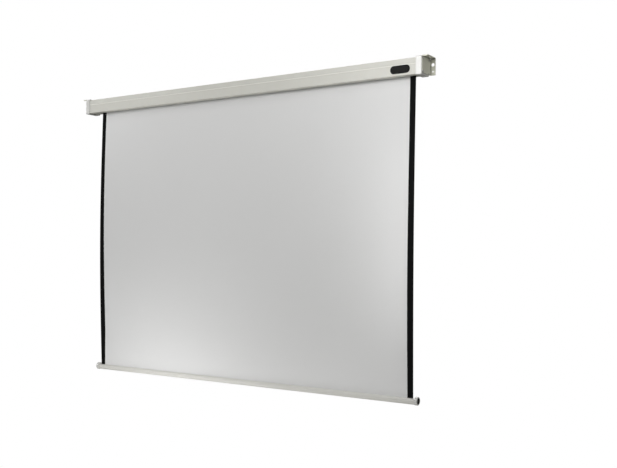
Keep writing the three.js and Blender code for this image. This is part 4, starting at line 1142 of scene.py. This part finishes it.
@dataclass
class Studio:
    """The floor, the light and the photograph's camera."""

    camera_place: Point = (2.70787, -3.5634, -0.86971)
    yaw: float = math.radians(32.555)
    pitch: float = math.radians(-0.51)
    roll: float = math.radians(0.453)
    lens: float = 48.2074
    sensor: float = 36.0
    shift: float = 27.126 / PHOTO_WIDTH
    clip: tuple[float, float] = (0.05, 60.0)
    floor_level: float = -1.95
    floor_size: float = 40.0
    floor_roughness: float = 0.9
    floor_bounce: Colour = (0.3, 0.3, 0.28)
    sky_mean: float = 0.333
    sky_slope: Point = (0.0, -0.142, 0.0)
    sky_tint: Colour = (1.0, 1.0, 0.99)

    def build(self) -> None:
        """Sets up everything around the screen."""
        self._camera()
        self._floor()
        self._world()
        self._lights()

    def _camera(self) -> None:
        """Places the camera as it was solved from the photograph."""
        data = bpy.data.cameras.new("photo_camera")
        data.sensor_width = self.sensor
        data.lens = self.lens
        data.shift_y = self.shift
        data.clip_start, data.clip_end = self.clip
        camera = add_object("photo_camera", data)
        ahead = Vector((-math.sin(self.yaw) * math.cos(self.pitch),
                        math.cos(self.yaw) * math.cos(self.pitch),
                        math.sin(self.pitch)))
        level = Vector((math.cos(self.yaw), math.sin(self.yaw), 0.0))
        above = level.cross(ahead)
        right = math.cos(self.roll) * level + math.sin(self.roll) * above
        up = math.cos(self.roll) * above - math.sin(self.roll) * level
        turn = Matrix((right, up, -ahead)).transposed()
        camera.matrix_world = Matrix.Translation(self.camera_place) @ turn.to_4x4()
        bpy.context.scene.camera = camera

    def _floor(self) -> None:
        """Lays a plain pale floor that reads as the photograph's white."""
        deselect_all()
        bpy.ops.mesh.primitive_plane_add(size=self.floor_size, location=(0.0, 0.0, self.floor_level))
        floor = bpy.context.active_object
        floor.name = "studio_floor"
        material = bpy.data.materials.new("pale_floor")
        material.use_nodes = True
        tree = material.node_tree
        shader = tree.nodes["Principled BSDF"]
        shader.inputs["Base Color"].default_value = (*self.floor_bounce, 1.0)
        shader.inputs["Roughness"].default_value = self.floor_roughness
        glow = add_node(tree, "Emission")
        self._white_for_camera(tree, shader.outputs["BSDF"], glow.outputs["Emission"],
                               tree.nodes["Material Output"])
        floor.data.materials.append(material)

    def _world(self) -> None:
        """Sets the soft light from all round and the white behind the screen."""
        scene = bpy.context.scene
        scene.view_settings.view_transform = "Standard"
        world = bpy.data.worlds.new("studio")
        scene.world = world
        world.use_nodes = True
        tree = world.node_tree
        soft = tree.nodes["Background"]
        soft.inputs["Color"].default_value = (*self.sky_tint, 1.0)
        where = add_node(tree, "TexCoord")
        slope = add_node(tree, "VectorMath", {1: self.sky_slope}, operation="DOT_PRODUCT")
        level = add_node(tree, "Math", {1: self.sky_mean}, operation="ADD")
        tree.links.new(where.outputs["Generated"], slope.inputs[0])
        tree.links.new(slope.outputs["Value"], level.inputs[0])
        tree.links.new(level.outputs["Value"], soft.inputs["Strength"])
        white = add_node(tree, "Background", {"Color": (1.0, 1.0, 1.0, 1.0)})
        self._white_for_camera(tree, soft.outputs["Background"], white.outputs["Background"],
                               tree.nodes["World Output"])

    @staticmethod
    def _white_for_camera(tree: bpy.types.NodeTree, lit: bpy.types.NodeSocket,
                          white: bpy.types.NodeSocket, end: bpy.types.Node) -> None:
        """Shows the camera plain white and every other ray the lit shader.

        Args:
            tree: The tree of the floor or of the world.
            lit: What every other ray meets.
            white: What the camera sees.
            end: The tree's output node.
        """
        path = add_node(tree, "LightPath")
        mix = add_node(tree, "MixShader")
        tree.links.new(path.outputs["Is Camera Ray"], mix.inputs["Fac"])
        tree.links.new(lit, mix.inputs[1])
        tree.links.new(white, mix.inputs[2])
        tree.links.new(mix.outputs["Shader"], end.inputs["Surface"])

    def _lights(self) -> None:
        """Adds the soft boxes."""
        for soft_box in SOFT_BOXES:
            soft_box.build()


def main() -> None:
    """Builds the studio and every piece in order."""
    logging.basicConfig(level=logging.INFO, format="%(name)s: %(message)s")
    Studio().build()
    LOG.info("studio is set up")
    wardrobe = Wardrobe()
    wardrobe.dress_nodes()
    LOG.info("%d finishes on %d frame nodes", len(FINISHES), len(frame["nodes"]))
    for assembly in (ScreenCloth, CaseAndCaps, CaseScrews, BottomBar):
        assembly(wardrobe).build()
        LOG.info("%s is built", assembly.__name__)


if __name__ == "__main__":
    main()
